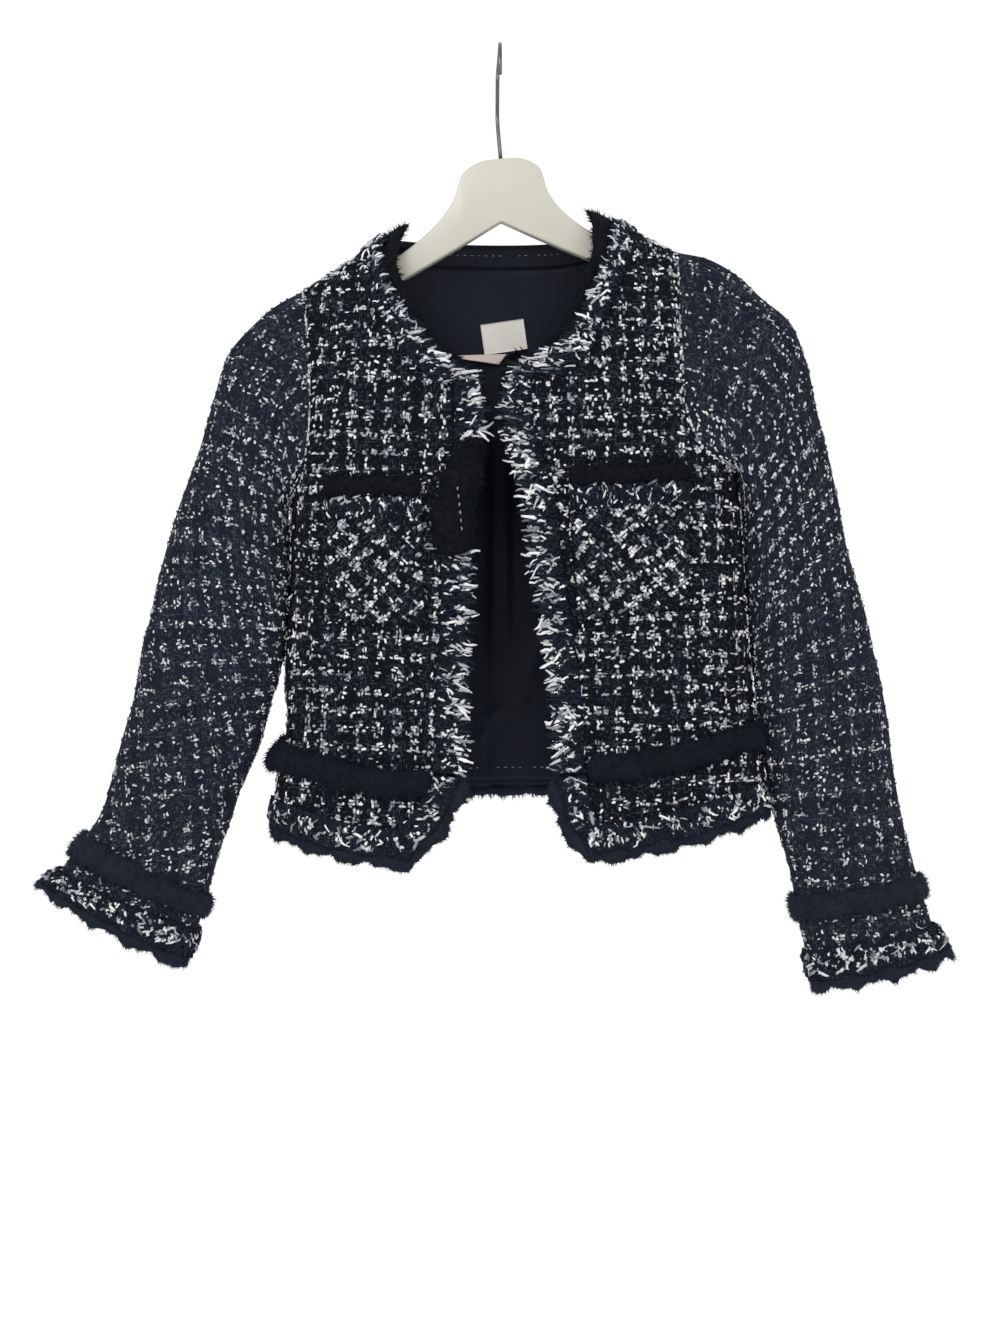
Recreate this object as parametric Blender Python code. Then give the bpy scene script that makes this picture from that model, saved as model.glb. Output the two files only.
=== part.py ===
"""A cropped tweed jacket hanging open on a wooden hanger.

Frame: the origin is the inside top of the hook, +Z up, +X to the right of someone who faces
the jacket, and the fronts face -Y. Lengths in the tables are millimetres.
"""

import math

import bpy
import numpy as np

MM = 0.001

# ---------------------------------------------------------------- driving dimensions, in mm

WALL = 2.0  # tweed
SEAM_GAP = 0.3
LINING_WALL = 1.0
LINING_GAP = 1.0  # between the back panel and its lining

# The shoulder line is a roof over the hanger: a rounded ridge that falls to each side.
RIDGE_X, RIDGE_Z, RIDGE_ROUND = 0.0, -117.0, 30.0
SHOULDER_SLOPE = {"left": 0.672, "right": 0.500}
NECK_X = {"left": -101.0, "right": 100.0}

# Body section: a flattened round, deepest at the bust.
FRONT_DEPTH, BUST_DEPTH, BUST_Z, BUST_SPREAD = 45.0, 8.0, -395.0, 95.0
BACK_DEPTH, BLADE_DEPTH, BLADE_Z, BLADE_SPREAD = 41.0, 6.0, -300.0, 110.0
SHOULDER_FALL = 150.0  # how far below the shoulder line the body reaches its full depth
SECTION_POWER = 2.6

BACK_NECK_Z = -168.5
BACK_HEM_Z = -654.0
HEM_SAG = 6.0  # of each front's hem below the straight line between its ends

# Outlines, columns x, z. Each runs from the top down.
NECKLINE = {
    "left": [(-101, None), (-103, -192), (-96, -212), (-80, -239), (-60, -266), (-36, -286), (-17, -296)],
    "right": [(100, None), (94, -182), (83, -209), (71, -236), (55, -262), (31, -279), (5, -290)],
}
FRONT_EDGE = {
    "left": [
        *[(-17, -296), (-17, -350), (-27, -420), (-29, -500), (-33, -565), (-37, -640)],
        *[(-54, -678), (-80, -708)],
    ],
    "right": [
        *[(5, -290), (8, -345), (24, -400), (32, -460), (41, -520), (49, -580), (52, -640)],
        *[(62, -680), (80, -703)],
    ],
}
ARMHOLE = {
    "left": [(-173, None), (-168, -262), (-165, -308), (-167, -350), (-174, -382), (-184, -402)],
    "right": [(155, None), (156, -240), (158, -290), (163, -330), (177, -358), (209, -374)],
}
SIDE_SEAM = {
    "left": [(-184, -402), (-185, -470), (-189.5, -548), (-188, -600), (-196, -640), (-200, -682)],
    "right": [(209, -374), (212, -410), (216, -470), (219.5, -530), (222, -570), (226, -610), (234, -666)],
}

# Sleeve rings: outer end, inner end and half depth. The first ring lies on the armhole.
SLEEVE = {
    "left": [
        # outer x, outer z, inner x, inner z, half depth
        (-173, -216, -184, -402, 34),
        (-197, -229, -186, -403, 38),
        (-217, -246, -187, -405, 40),
        (-238, -270, -188, -411, 40),
        (-250, -305, -187, -428, 39),
        (-265, -357, -187, -460, 38),
        (-284, -410, -188.5, -492, 37),
        (-299, -463, -190.5, -525, 36),
        (-311, -513, -194, -560, 35),
        (-326, -585, -211, -612, 33),
        (-338, -629, -227, -656, 32),
        (-351, -674, -246, -706, 31),
        (-370, -702, -257, -744, 32),
        (-388, -726, -265, -772, 34),
        (-400, -741, -271, -796, 36),
    ],
    "right": [
        # outer x, outer z, inner x, inner z, half depth
        (155, -182, 209, -374, 38),
        (183, -188, 211, -375, 40),
        (208, -202, 213, -377, 41),
        (231, -223, 215, -381, 41),
        (254, -242, 215, -389, 40),
        (268, -274, 215.5, -408, 40),
        (279, -322, 217.5, -445, 39),
        (292, -374, 220, -485, 38),
        (304, -432, 222.5, -520, 37),
        (318, -484, 226, -550, 36),
        (333, -550, 232, -594, 34),
        (343, -605, 239.5, -636, 33),
        (350, -660, 245, -684, 32),
        (360, -705, 255, -724, 31),
        (371, -744, 262, -764, 32),
        (380, -772, 269, -795, 34),
        (387, -792, 274, -815, 36),
    ],
}
SLEEVE_BLEND = 0.30  # share of the sleeve over which the armhole's outline fades into its rings

# Pockets: corners as x, z, from the one nearest the front edge at the mouth.
POCKET = {
    "left": {"mouth": ((-67, -398), (-150, -398)), "foot": ((-64, -511), (-145, -507))},
    "right": {"mouth": ((59, -390), (162, -385)), "foot": ((66, -507), (162, -494))},
}
POCKET_LIFT, POCKET_FRINGE, POCKET_FUR = 1.4, 19.0, 16.0

# The stretch of the left edge's fur that has rolled out over the fringe, x, z from its top.
FUR_TURNED = [(-32, -354), (-36, -378), (-40, -415), (-42, -448)]
FUR_TURNED_HALF, FUR_TURNED_HIGH = 20.0, 7.0

# Soft troughs of the body (face -1 front, 1 back), from the top down.
TROUGHS = [
    # face, top x, top z, foot x, foot z, half width, depth
    (-1, 192, -380, 204, -720, 14, 4.0),
    (1, -118, -260, -146, -700, 30, 5.0),
    (1, 138, -250, 166, -700, 30, 5.0),
    (1, 16, -330, 24, -700, 34, 4.0),
]
# Creases of each sleeve: middle as a share of its length and a turn, half sizes, and depth.
CREASES = {
    "left": [
        # down, turn in degrees, half down, half turn, depth
        (0.50, 120, 0.035, 70, 4.0),
        (0.62, 60, 0.030, 75, 3.5),
        (0.74, 130, 0.030, 65, 4.0),
        (0.56, 240, 0.035, 75, 4.0),
        (0.70, 290, 0.030, 70, 3.5),
    ],
    "right": [
        (0.46, 60, 0.035, 75, 4.0),
        (0.58, 125, 0.030, 70, 4.0),
        (0.71, 70, 0.030, 70, 3.5),
        (0.52, 250, 0.035, 75, 4.0),
        (0.66, 300, 0.030, 70, 3.5),
    ],
}

# Labels on the back lining: middle x, z, and width, height, tilt in degrees.
LABEL_MAIN = (3.5, -249.0, 39.0, 27.0, 8.0)
LABEL_WALL, LABEL_LIFT = 0.6, 0.8
# The size label stands out from the lining: its corners as x, distance off the lining, z.
LABEL_SIZE = [(4, 2, -264.5), (-41, 12, -267.5), (-40, 16, -277), (2, 3, -275.5)]

# Trim: widths along the cloth, and heights off it.
TRIM_LIFT = 1.4  # clear of the facets below it
FRINGE_THICK, FUR_THICK = 3.0, 6.0
FRINGE_WIDTH, FRINGE_OVER = 22.0, 4.0  # inside the cloth's edge, and beyond it
CUFF_FLARE = 4.0
FUR_BAND_WIDTH = 26.0
BAND_RISE = {"hem": 64.0, "left": 44.0, "right": 58.0}  # of a fur band's middle above the edge
FUR_EDGE_REACH, FUR_NECK_REACH, FUR_HEM_REACH, FUR_CUFF_REACH = 6.0, 13.0, 11.0, 17.0
FUR_BACK_REACH = 3.0
EDGE_GAP = 0.6  # from a cloth edge to the fur beyond it
EDGE_UNDER, EDGE_OVER = 4.0, 0.7  # how far the fur edging stands behind and before the cloth
CORNER_Z = -640.0  # where each front's straight edge ends and its hem corner begins

# The lining's pleat down the middle of the back.
PLEAT_HIGH, PLEAT_TOP_Z, PLEAT_FULL_Z, PLEAT_HALF = 4.0, -300.0, -360.0, 0.05

# Hanger: columns x, z from the middle of its head, one half.
HANGER_AT = (0.8, -99.0)
HANGER_SLOPE = math.tan(math.radians(4.8))  # its left side hangs lower
HANGER_THICK = 12.0
HANGER_TOP = [
    *[(0, 0), (20, -2), (33, -10), (41.5, -33), (52, -48)],
    *[(65, -60.5), (90, -78), (130, -96), (175, -115), (202, -129.5)],
]
HANGER_UNDER = [(208, -138), (201, -149), (175, -137), (130, -119), (80, -97), (40, -77), (0, -56)]
HANGER_ROUND = 2.5

# Hook: a wire whose middle runs up from the head, leans out, and bends over in the Y-Z plane.
HOOK_WIRE, HOOK_RADIUS, HOOK_END = 3.5, 22.0, 205.0
HOOK_FOOT_Z, HOOK_BEND_Z = -98.2, -66.0
HOOK_SWAY = [(-99, 0.6), (-66, -2.4), (-20, -2.2), (2, 0.0)]  # z, x

# Counts of the facets.
RING_POINTS = 20
SLEEVE_RINGS = 15
SIDE_ROWS = 8
FRONT_COLUMNS = 9
BACK_COLUMNS = 15

COLOURS = {
    # red, green, blue, roughness, metallic
    "tweed": (0.035, 0.040, 0.055, 0.90, 0.0),
    "fringe": (0.120, 0.125, 0.140, 0.95, 0.0),
    "fur": (0.012, 0.014, 0.020, 0.95, 0.0),
    "lining": (0.010, 0.012, 0.020, 0.45, 0.0),
    "label": (0.820, 0.790, 0.750, 0.60, 0.0),
    "white_paint": (0.560, 0.545, 0.490, 0.35, 0.0),
    "steel": (0.300, 0.300, 0.310, 0.25, 1.0),
}


# ---------------------------------------------------------------- form of the garment


class Line:
    """A smooth line through the rows of a table, read by the share of its length."""

    def __init__(self, rows, steps=16):
        knots = np.array(rows, float)
        chord = np.concatenate([[0], np.cumsum(np.linalg.norm(np.diff(knots, axis=0), axis=1))])
        slope = np.gradient(knots, chord, axis=0)
        pieces = []
        for i in range(len(knots) - 1):
            t = np.linspace(0, 1, steps, endpoint=False)[:, None]
            h = chord[i + 1] - chord[i]
            start = (1 + 2 * t) * (1 - t) ** 2 * knots[i] + t * (1 - t) ** 2 * h * slope[i]
            end = t * t * (3 - 2 * t) * knots[i + 1] + t * t * (t - 1) * h * slope[i + 1]
            pieces.append(start + end)
        self.points = np.vstack([*pieces, knots[-1:]])
        run = np.cumsum(np.linalg.norm(np.diff(self.points, axis=0), axis=1))
        self.length = run[-1]
        self.share = np.concatenate([[0], run / run[-1]])

    def at(self, share):
        """A point on the line, or on its straight run past either end."""
        inside = min(max(share, 0.0), 1.0)
        found = np.array([np.interp(inside, self.share, column) for column in self.points.T])
        if share < 0:
            ahead = self.points[1] - self.points[0]
            found = found + ahead / np.linalg.norm(ahead) * share * self.length
        if share > 1:
            ahead = self.points[-1] - self.points[-2]
            found = found + ahead / np.linalg.norm(ahead) * (share - 1) * self.length
        return found


def shoulder_z(x):
    slope = SHOULDER_SLOPE["left" if x < RIDGE_X else "right"]
    return RIDGE_Z - slope * (math.hypot(x - RIDGE_X, RIDGE_ROUND) - RIDGE_ROUND)


def outline(rows):
    """A table's rows with each missing height taken from the shoulder line."""
    return Line([(x, shoulder_z(x) if z is None else z) for x, z in rows])


SIDES = ("left", "right")
neckline = {side: outline(NECKLINE[side]) for side in SIDES}
front_edge = {side: outline(FRONT_EDGE[side]) for side in SIDES}
armhole = {side: outline(ARMHOLE[side]) for side in SIDES}
side_seam = {side: outline(SIDE_SEAM[side]) for side in SIDES}
sleeve_rings = {side: Line(SLEEVE[side]) for side in SIDES}


def side_x(side, z):
    """The body's outline at a height, carried straight up above the underarm."""
    points = side_seam[side].points
    return float(np.interp(-z, -points[:, 1], points[:, 0]))


def body_y(x, z, face):
    """How far the body's front (face -1) or back (face 1) stands off the hanger's plane."""
    left, right = side_x("left", z), side_x("right", z)
    across = min(abs(x - (left + right) / 2) / ((right - left) / 2), 1.0)
    section = (1 - across**SECTION_POWER) ** (1 / SECTION_POWER)
    fall = min(max(shoulder_z(x) - z, 0.0) / SHOULDER_FALL, 1.0)
    arch = math.sqrt(1 - (1 - fall) ** 2)
    for side_of, top_x, top_z, foot_x, foot_z, half_width, dip in TROUGHS:
        drop = min(max((top_z - z) / (top_z - foot_z), 0.0), 1.0)
        aside = (x - top_x - (foot_x - top_x) * drop) / half_width
        if side_of == face:
            section -= dip / FRONT_DEPTH * math.sin(drop * math.pi / 2) * math.exp(-aside * aside)
    section = max(section, 0.0)
    if face < 0:
        depth = FRONT_DEPTH + BUST_DEPTH * math.exp(-(((z - BUST_Z) / BUST_SPREAD) ** 2))
    else:
        depth = BACK_DEPTH + BLADE_DEPTH * math.exp(-(((z - BLADE_Z) / BLADE_SPREAD) ** 2))
    return face * depth * arch * section


# The share of a front's rows that ends at the foot of the neckline, and at the underarm.
NECK_SHARE, ARM_SHARE = 0.28, 0.45


def inner_edge(side, down):
    if down < NECK_SHARE:
        return neckline[side].at(down / NECK_SHARE)
    return front_edge[side].at((down - NECK_SHARE) / (1 - NECK_SHARE))


def outer_edge(side, down):
    if down < ARM_SHARE:
        return armhole[side].at(down / ARM_SHARE)
    return side_seam[side].at((down - ARM_SHARE) / (1 - ARM_SHARE))


def front_point(side, across, down):
    """A point on a front: across runs from the front edge to the armhole or side seam."""
    bend = math.sin(min(across, 1.0) * math.pi / 2) if across > 0 else across * math.pi / 2
    x, z = inner_edge(side, down) * (1 - bend) + outer_edge(side, down) * bend
    top_x, top_z = inner_edge(side, 0) * (1 - bend) + outer_edge(side, 0) * bend
    z += (shoulder_z(top_x) - top_z) * (1 - min(max(down, 0), 1)) ** 8
    z -= HEM_SAG * math.sin(math.pi * min(max(bend, 0), 1)) * min(max(down, 0), 1) ** 3
    return np.array([x, body_y(x, z, -1), z])


def back_top(side, across):
    """The back's upper edge, from the centre along the neck and then the shoulder seam."""
    x = across * ARMHOLE[side][0][0]
    share = x / NECK_X[side]
    if share >= 1:
        return np.array([x, shoulder_z(x)])
    corner_z = shoulder_z(NECK_X[side])
    return np.array([x, BACK_NECK_Z + (corner_z - BACK_NECK_Z) * share**4])


def back_point(side, across, down):
    """A point on a half of the back: across runs from the centre to the armhole or side."""
    bend = math.sin(min(across, 1.0) * math.pi / 2)
    centre_x = (side_x("left", BACK_HEM_Z) + side_x("right", BACK_HEM_Z)) / 2
    centre_top, centre_foot = np.array([0, BACK_NECK_Z]), np.array([centre_x, BACK_HEM_Z])
    centre = centre_top * (1 - down) + centre_foot * down
    outer = outer_edge(side, down)
    outer_top, outer_foot = outer_edge(side, 0), outer_edge(side, 1)
    top = back_top(side, bend)
    foot = centre_foot + (outer_foot - centre_foot) * np.array([bend, bend**2])
    over = max(1 - down, 0.0)
    x, z = centre * (1 - bend) + outer * bend
    straight_top = centre_top * (1 - bend) + outer_top * bend
    straight_foot = centre_foot * (1 - bend) + outer_foot * bend
    x, z = np.array([x, z]) + (top - straight_top) * over + (foot - straight_foot) * (1 - over)
    return np.array([x, body_y(x, z, 1), z])


def ring_share(turn):
    """The share of the armhole passed at a turn of the ring, from shoulder to underarm."""
    return (1 - math.cos(turn)) / 2


def armhole_point(side, turn):
    """A point of the armhole: the front half for a turn under half a circle."""
    front = turn <= math.pi
    x, z = armhole[side].at(ring_share(turn if front else 2 * math.pi - turn))
    return np.array([x, body_y(x, z, -1 if front else 1), z])


def ring_point(values, turn):
    outer_x, outer_z, inner_x, inner_z, depth = values
    middle = np.array([(outer_x + inner_x) / 2, 0, (outer_z + inner_z) / 2])
    half = np.array([(outer_x - inner_x) / 2, 0, (outer_z - inner_z) / 2])
    return middle + half * math.cos(turn) - np.array([0, depth * math.sin(turn), 0])


def creased(side, turn, down, spot, middle):
    """A sleeve's point drawn in towards the ring's middle where a crease passes."""
    away = spot - middle
    reach = np.linalg.norm(away)
    for at_down, at_turn, half_down, half_turn, depth in CREASES[side]:
        along = (down - at_down) / half_down
        about = (math.degrees(turn) - at_turn) / half_turn
        spot = spot - away / reach * depth * math.exp(-along * along - about * about)
    return spot


def sleeve_point(side, turn, down):
    """A point on a sleeve: turn goes round it from its top by the front, down along it."""
    turn = turn % (2 * math.pi)
    values = sleeve_rings[side].at(down)
    middle = np.array([(values[0] + values[2]) / 2, 0, (values[1] + values[3]) / 2])
    plain = creased(side, turn, down, ring_point(values, turn), middle)
    fade = min(max(down / SLEEVE_BLEND, 0.0), 1.0)
    keep = 1 - fade * fade * (3 - 2 * fade)
    if keep == 0:
        return plain
    return plain + keep * (armhole_point(side, turn) - ring_point(SLEEVE[side][0], turn))


# ---------------------------------------------------------------- grids and walls

FEEL = 0.004  # share of a surface used to feel its slope


def shares(across, downs):
    """Two equal tables of shares: one row for each down, one column for each across."""
    return np.meshgrid(np.asarray(across, float), np.asarray(downs, float))


def surface(point, across, downs, outward):
    """Points of a surface function over two tables of shares, and normals that face outward."""
    spots = np.empty((*across.shape, 3))
    normals = np.empty_like(spots)
    for spot in np.ndindex(across.shape):
        a, d = across[spot], downs[spot]
        spots[spot] = point(a, d)
        over = point(a + FEEL, d) - point(a - FEEL, d)
        along = point(a, d + FEEL) - point(a, d - FEEL)
        normal = np.cross(over, along)
        normals[spot] = normal / np.linalg.norm(normal)
    return spots, normals * np.sign((normals * outward).sum(axis=-1, keepdims=True))


def body_surface(point, across, downs, side, face):
    """A front's or half back's points and normals, split from its neighbour at y = 0."""
    spots, normals = surface(point, across, downs, np.array([0.0, face, 0.0]))
    out = -1.0 if side == "left" else 1.0
    for spot in np.ndindex(across.shape):
        x, y, z = spots[spot]
        at_shoulder = downs[spot] <= 0 and abs(x) >= abs(NECK_X[side]) - 14
        at_side = across[spot] >= 1 and downs[spot] >= ARM_SHARE
        if at_shoulder:
            normal = np.array([out * SHOULDER_SLOPE[side], 0.0, 1.0])
            normals[spot] = normal / np.linalg.norm(normal)
        if at_side:
            normals[spot] = (out, 0.0, 0.0)
        if at_shoulder or at_side:
            spots[spot] = (x, face * SEAM_GAP / 2, z)
    return spots, normals


def pull_in(line, neighbour, distance):
    """A seam's points moved a distance towards the piece's next line of points."""
    ahead = neighbour - line
    return line + ahead / np.linalg.norm(ahead, axis=-1, keepdims=True) * distance


def make_material(name):
    red, green, blue, roughness, metallic = COLOURS[name]
    made = bpy.data.materials.new(name)
    made.use_nodes = True
    shader = made.node_tree.nodes["Principled BSDF"]
    shader.inputs["Base Color"].default_value = (red, green, blue, 1)
    shader.inputs["Roughness"].default_value = roughness
    shader.inputs["Metallic"].default_value = metallic
    return made


MATERIALS = {}


def add_object(name, mesh, material):
    made = bpy.data.objects.new(name, mesh)
    bpy.context.scene.collection.objects.link(made)
    mesh.materials.append(MATERIALS[material])
    mesh.shade_smooth()
    mesh.set_sharp_from_angle(angle=math.radians(40))
    return made


def volume_of(points, faces):
    a, b, c = (points[[face[i] for face in faces]] for i in range(3))
    return (a * np.cross(b, c)).sum() / 6


def wall(name, outer, inner, material, ring=False):
    """One closed solid between two grids of points. A ring joins its last column to the first."""
    rows, columns = outer.shape[:2]
    points = np.vstack([outer.reshape(-1, 3), inner.reshape(-1, 3)])
    below = rows * columns
    cells = columns if ring else columns - 1
    faces = []

    def quad(a, b, c, d):
        faces.extend([(a, b, c), (a, c, d)])

    for i in range(rows - 1):
        for j in range(cells):
            a, b = i * columns + j, i * columns + (j + 1) % columns
            quad(a, b, b + columns, a + columns)
            quad(below + a, below + a + columns, below + b + columns, below + b)
    for j in range(cells):
        a, b = j, (j + 1) % columns
        quad(a, below + a, below + b, b)
        a, b = a + (rows - 1) * columns, b + (rows - 1) * columns
        quad(a, b, below + b, below + a)
    if not ring:
        for i in range(rows - 1):
            a, b = i * columns, (i + 1) * columns
            quad(a, b, below + b, below + a)
            a, b = a + columns - 1, b + columns - 1
            quad(a, below + a, below + b, b)
    if volume_of(points, faces) < 0:
        faces = [face[::-1] for face in faces]
    mesh = bpy.data.meshes.new(name)
    mesh.from_pydata([tuple(point) for point in points * MM], [], faces)
    return add_object(name, mesh, material)


# ---------------------------------------------------------------- tweed panels

ARM_ROWS = RING_POINTS // 2 + 1
FRONT_SHARES = np.linspace(0, 1, FRONT_COLUMNS)
HALF_BACK_SHARES = np.linspace(0, 1, BACK_COLUMNS // 2 + 1)
TURNS = np.arange(RING_POINTS) * 2 * math.pi / RING_POINTS


def body_rows():
    """Shares down the body: the armhole's ring points, then even rows to the hem."""
    upper = [ARM_SHARE * ring_share(turn) for turn in np.linspace(0, math.pi, ARM_ROWS)]
    return upper + list(np.linspace(ARM_SHARE, 1, SIDE_ROWS + 1)[1:])


def front_of(side):
    def point(across, down):
        return front_point(side, across, down)

    return point


def back_of(side):
    def point(across, down):
        return back_point(side, across, down)

    return point


def sleeve_of(side):
    def point(turn, down):
        return sleeve_point(side, turn, down)

    return point


def front_surface(side, across, downs):
    return body_surface(front_of(side), across, downs, side, -1)


def back_surface(across, downs):
    """The back's points and normals; across is negative on the left."""
    halves = [body_surface(back_of(side), np.abs(across), downs, side, 1) for side in SIDES]
    left = (across < 0)[:, :, None]
    spots, normals = (np.where(left, halves[0][i], halves[1][i]) for i in range(2))
    normals[np.abs(across) < 1e-6] *= (0, 1, 1)
    return spots, normals


def sleeve_surface(side, turns, downs):
    """A sleeve's points and normals; each row of the tables is one ring."""
    spots, normals = surface(sleeve_of(side), turns, downs, np.array([0.0, 0.0, 1.0]))
    away = spots - spots.mean(axis=1, keepdims=True)
    return spots, normals * np.sign((normals * away).sum(axis=-1, keepdims=True))


def share_at_seam(first, second):
    """One direction for two walls that meet, or each its own where the seam folds back."""
    together = first + second
    together /= np.maximum(np.linalg.norm(together, axis=-1, keepdims=True), 1e-9)
    folded = (first * second).sum(axis=-1, keepdims=True) < 0.3
    return np.where(folded, first, together), np.where(folded, second, together)


def add_tweed():
    downs = body_rows()
    back, back_normals = back_surface(*shares([*-HALF_BACK_SHARES[:0:-1], *HALF_BACK_SHARES], downs))
    for side, column in (("left", 0), ("right", -1)):
        front, front_normals = front_surface(side, *shares(FRONT_SHARES, downs))
        along = np.linspace(0, 1, SLEEVE_RINGS) ** 1.25
        sleeve, sleeve_normals = sleeve_surface(side, *shares(TURNS, along))
        arm = slice(0, ARM_ROWS)
        behind = [-k % RING_POINTS for k in range(ARM_ROWS)]
        meet = share_at_seam(front_normals[arm, -1], sleeve_normals[0, arm])
        front_normals[arm, -1], sleeve_normals[0, arm] = meet
        meet = share_at_seam(back_normals[arm, column], sleeve_normals[0, behind])
        back_normals[arm, column] = meet[0]
        sleeve_normals[0, behind[1:]] = meet[1][1:]
        inside = 1 if side == "left" else -2
        front[arm, -1] = pull_in(front[arm, -1], front[arm, -2], SEAM_GAP)
        back[arm, column] = pull_in(back[arm, column], back[arm, inside], SEAM_GAP)
        sleeve[0] = pull_in(sleeve[0], sleeve[1], SEAM_GAP)
        wall(f"front_{side}", front, front - WALL * front_normals, "tweed")
        wall(f"sleeve_{side}", sleeve, sleeve - WALL * sleeve_normals, "tweed", ring=True)
    wall("back_panel", back, back - WALL * back_normals, "tweed")


# ---------------------------------------------------------------- lining and labels


def add_lining():
    """The back's lining and facing, laid inside the panel."""
    half = [0, PLEAT_HALF, *HALF_BACK_SHARES[1:-1]]
    downs = [0.043, *[d for d in body_rows() if 0.05 < d < 0.97], 0.985]
    across, down = shares([*[-a for a in half[:0:-1]], *half], downs)
    spots, normals = back_surface(across, down)
    rise = np.clip((PLEAT_TOP_Z - spots[..., 2]) / (PLEAT_TOP_Z - PLEAT_FULL_Z), 0, 1)
    pleat = PLEAT_HIGH * rise * (np.abs(across) < 1e-6)
    outer = WALL + LINING_GAP + pleat
    under = spots - outer[..., None] * normals
    wall("back_lining", under, under - LINING_WALL * normals, "lining")

    half = HALF_BACK_SHARES[:3]
    downs = [0.004, body_rows()[1], 0.039]
    spots, normals = back_surface(*shares([*-half[:0:-1], *half], downs))
    under = spots - (WALL + 0.5) * normals
    wall("back_neck_facing", under, under - LINING_WALL * normals, "lining")


def inside_back(x, z, off):
    """A point inside the back, a distance off its lining."""
    return np.array([x, body_y(x, z, 1) - WALL - LINING_GAP - LINING_WALL - off, z])


def add_labels():
    x, z, width, height, tilt = LABEL_MAIN
    lean = math.tan(math.radians(tilt))
    rows = []
    for up in (0.5, 0, -0.5):
        rows.append([(x + width * u, z + height * up + width * u * lean) for u in (-0.5, 0, 0.5)])
    grid = np.array([[inside_back(*spot, LABEL_LIFT) for spot in row] for row in rows])
    wall("label_main", grid, grid - np.array([0, LABEL_WALL, 0]), "label")

    a, b, c, d = [inside_back(x, z, off) for x, off, z in LABEL_SIZE]
    grid = np.array([[a, b], [d, c]])
    wall("label_size", grid, grid - np.array([0, 0.7, 0.7]) * LABEL_WALL, "label")


# ---------------------------------------------------------------- pockets and their trim


def add_pockets():
    """Patch pockets with fringe on them and fur above the mouth, on a front's own points."""
    for side in SIDES:
        corners = POCKET[side]
        inner, outer = (np.array(spot, float) for spot in corners["mouth"])
        low_inner, low_outer = (np.array(spot, float) for spot in corners["foot"])

        def laid(across, down, inner=inner, outer=outer, low_inner=low_inner, low_outer=low_outer):
            top = inner * (1 - across) + outer * across
            foot = low_inner * (1 - across) + low_outer * across
            x, z = top * (1 - down) + foot * down
            return np.array([x, body_y(x, z, -1), z])

        height = np.linalg.norm(low_inner - inner)
        on_pocket = POCKET_LIFT + WALL + 0.6
        columns = np.linspace(0, 1, 8)
        strips = [
            # name, first share, last share, lift, thickness, material, rows
            ("pocket", 0.0, 1.0, POCKET_LIFT, WALL, "tweed", 8),
            ("fringe_pocket", 0.01, POCKET_FRINGE / height, on_pocket, FRINGE_THICK, "fringe", 2),
            ("fur_pocket", -POCKET_FUR / height, -0.01, POCKET_LIFT, FUR_THICK, "fur", 2),
        ]
        for name, first, last, lift, thick, material, rows in strips:
            table = shares(columns, np.linspace(first, last, rows))
            spots, normals = surface(laid, *table, np.array([0.0, -1.0, 0.0]))
            low, high = spots + lift * normals, spots + (lift + thick) * normals
            wall(f"{name}_{side}", high, low, material)


# ---------------------------------------------------------------- fringe and fur along edges


def beside_edge(point, path, distances):
    """Tables of shares for a strip: path rows are across, down and the way in from the edge."""
    path = np.asarray(path, float)
    distances = np.broadcast_to(np.asarray(distances, float), (len(path), np.shape(distances)[-1]))
    across, downs = np.empty(distances.shape), np.empty(distances.shape)
    for i, (a, d, into_a, into_d) in enumerate(path):
        over = (point(a + FEEL, d) - point(a - FEEL, d)) / FEEL / 2
        along = (point(a, d + FEEL) - point(a, d - FEEL)) / FEEL / 2
        size_over, size_along = np.linalg.norm(over), np.linalg.norm(along)
        lean = np.linalg.norm(np.cross(over, along)) / (size_over * size_along)
        across[i] = a + into_a * distances[i] / (size_over * lean)
        downs[i] = d + into_d * distances[i] / (size_along * lean)
    return across, downs


def lay(name, found, low, high, material, ring=False):
    """A strip between two heights over points and normals already found."""
    spots, normals = found
    low, high = (np.asarray(height, float) for height in (low, high))
    wall(name, spots + normals * high[..., None], spots + normals * low[..., None], material, ring)


def corner_share(side):
    points = front_edge[side]
    place = np.interp(-CORNER_Z, -points.points[:, 1], points.share)
    return NECK_SHARE + (1 - NECK_SHARE) * place


def edge_rows(side, first, last):
    """Rows of a front between two shares down its edge, at the panel's own rows."""
    return [first, *[d for d in body_rows() if first + 0.006 < d < last - 0.006], last]


def neck_share_across(side):
    """The back's share across at which its neck meets the shoulder seam."""
    return math.asin(NECK_X[side] / ARMHOLE[side][0][0]) * 2 / math.pi


FRINGE_LOW, FRINGE_HIGH = TRIM_LIFT, TRIM_LIFT + FRINGE_THICK
BAND_LOW, BAND_HIGH = TRIM_LIFT, TRIM_LIFT + FUR_THICK


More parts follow.
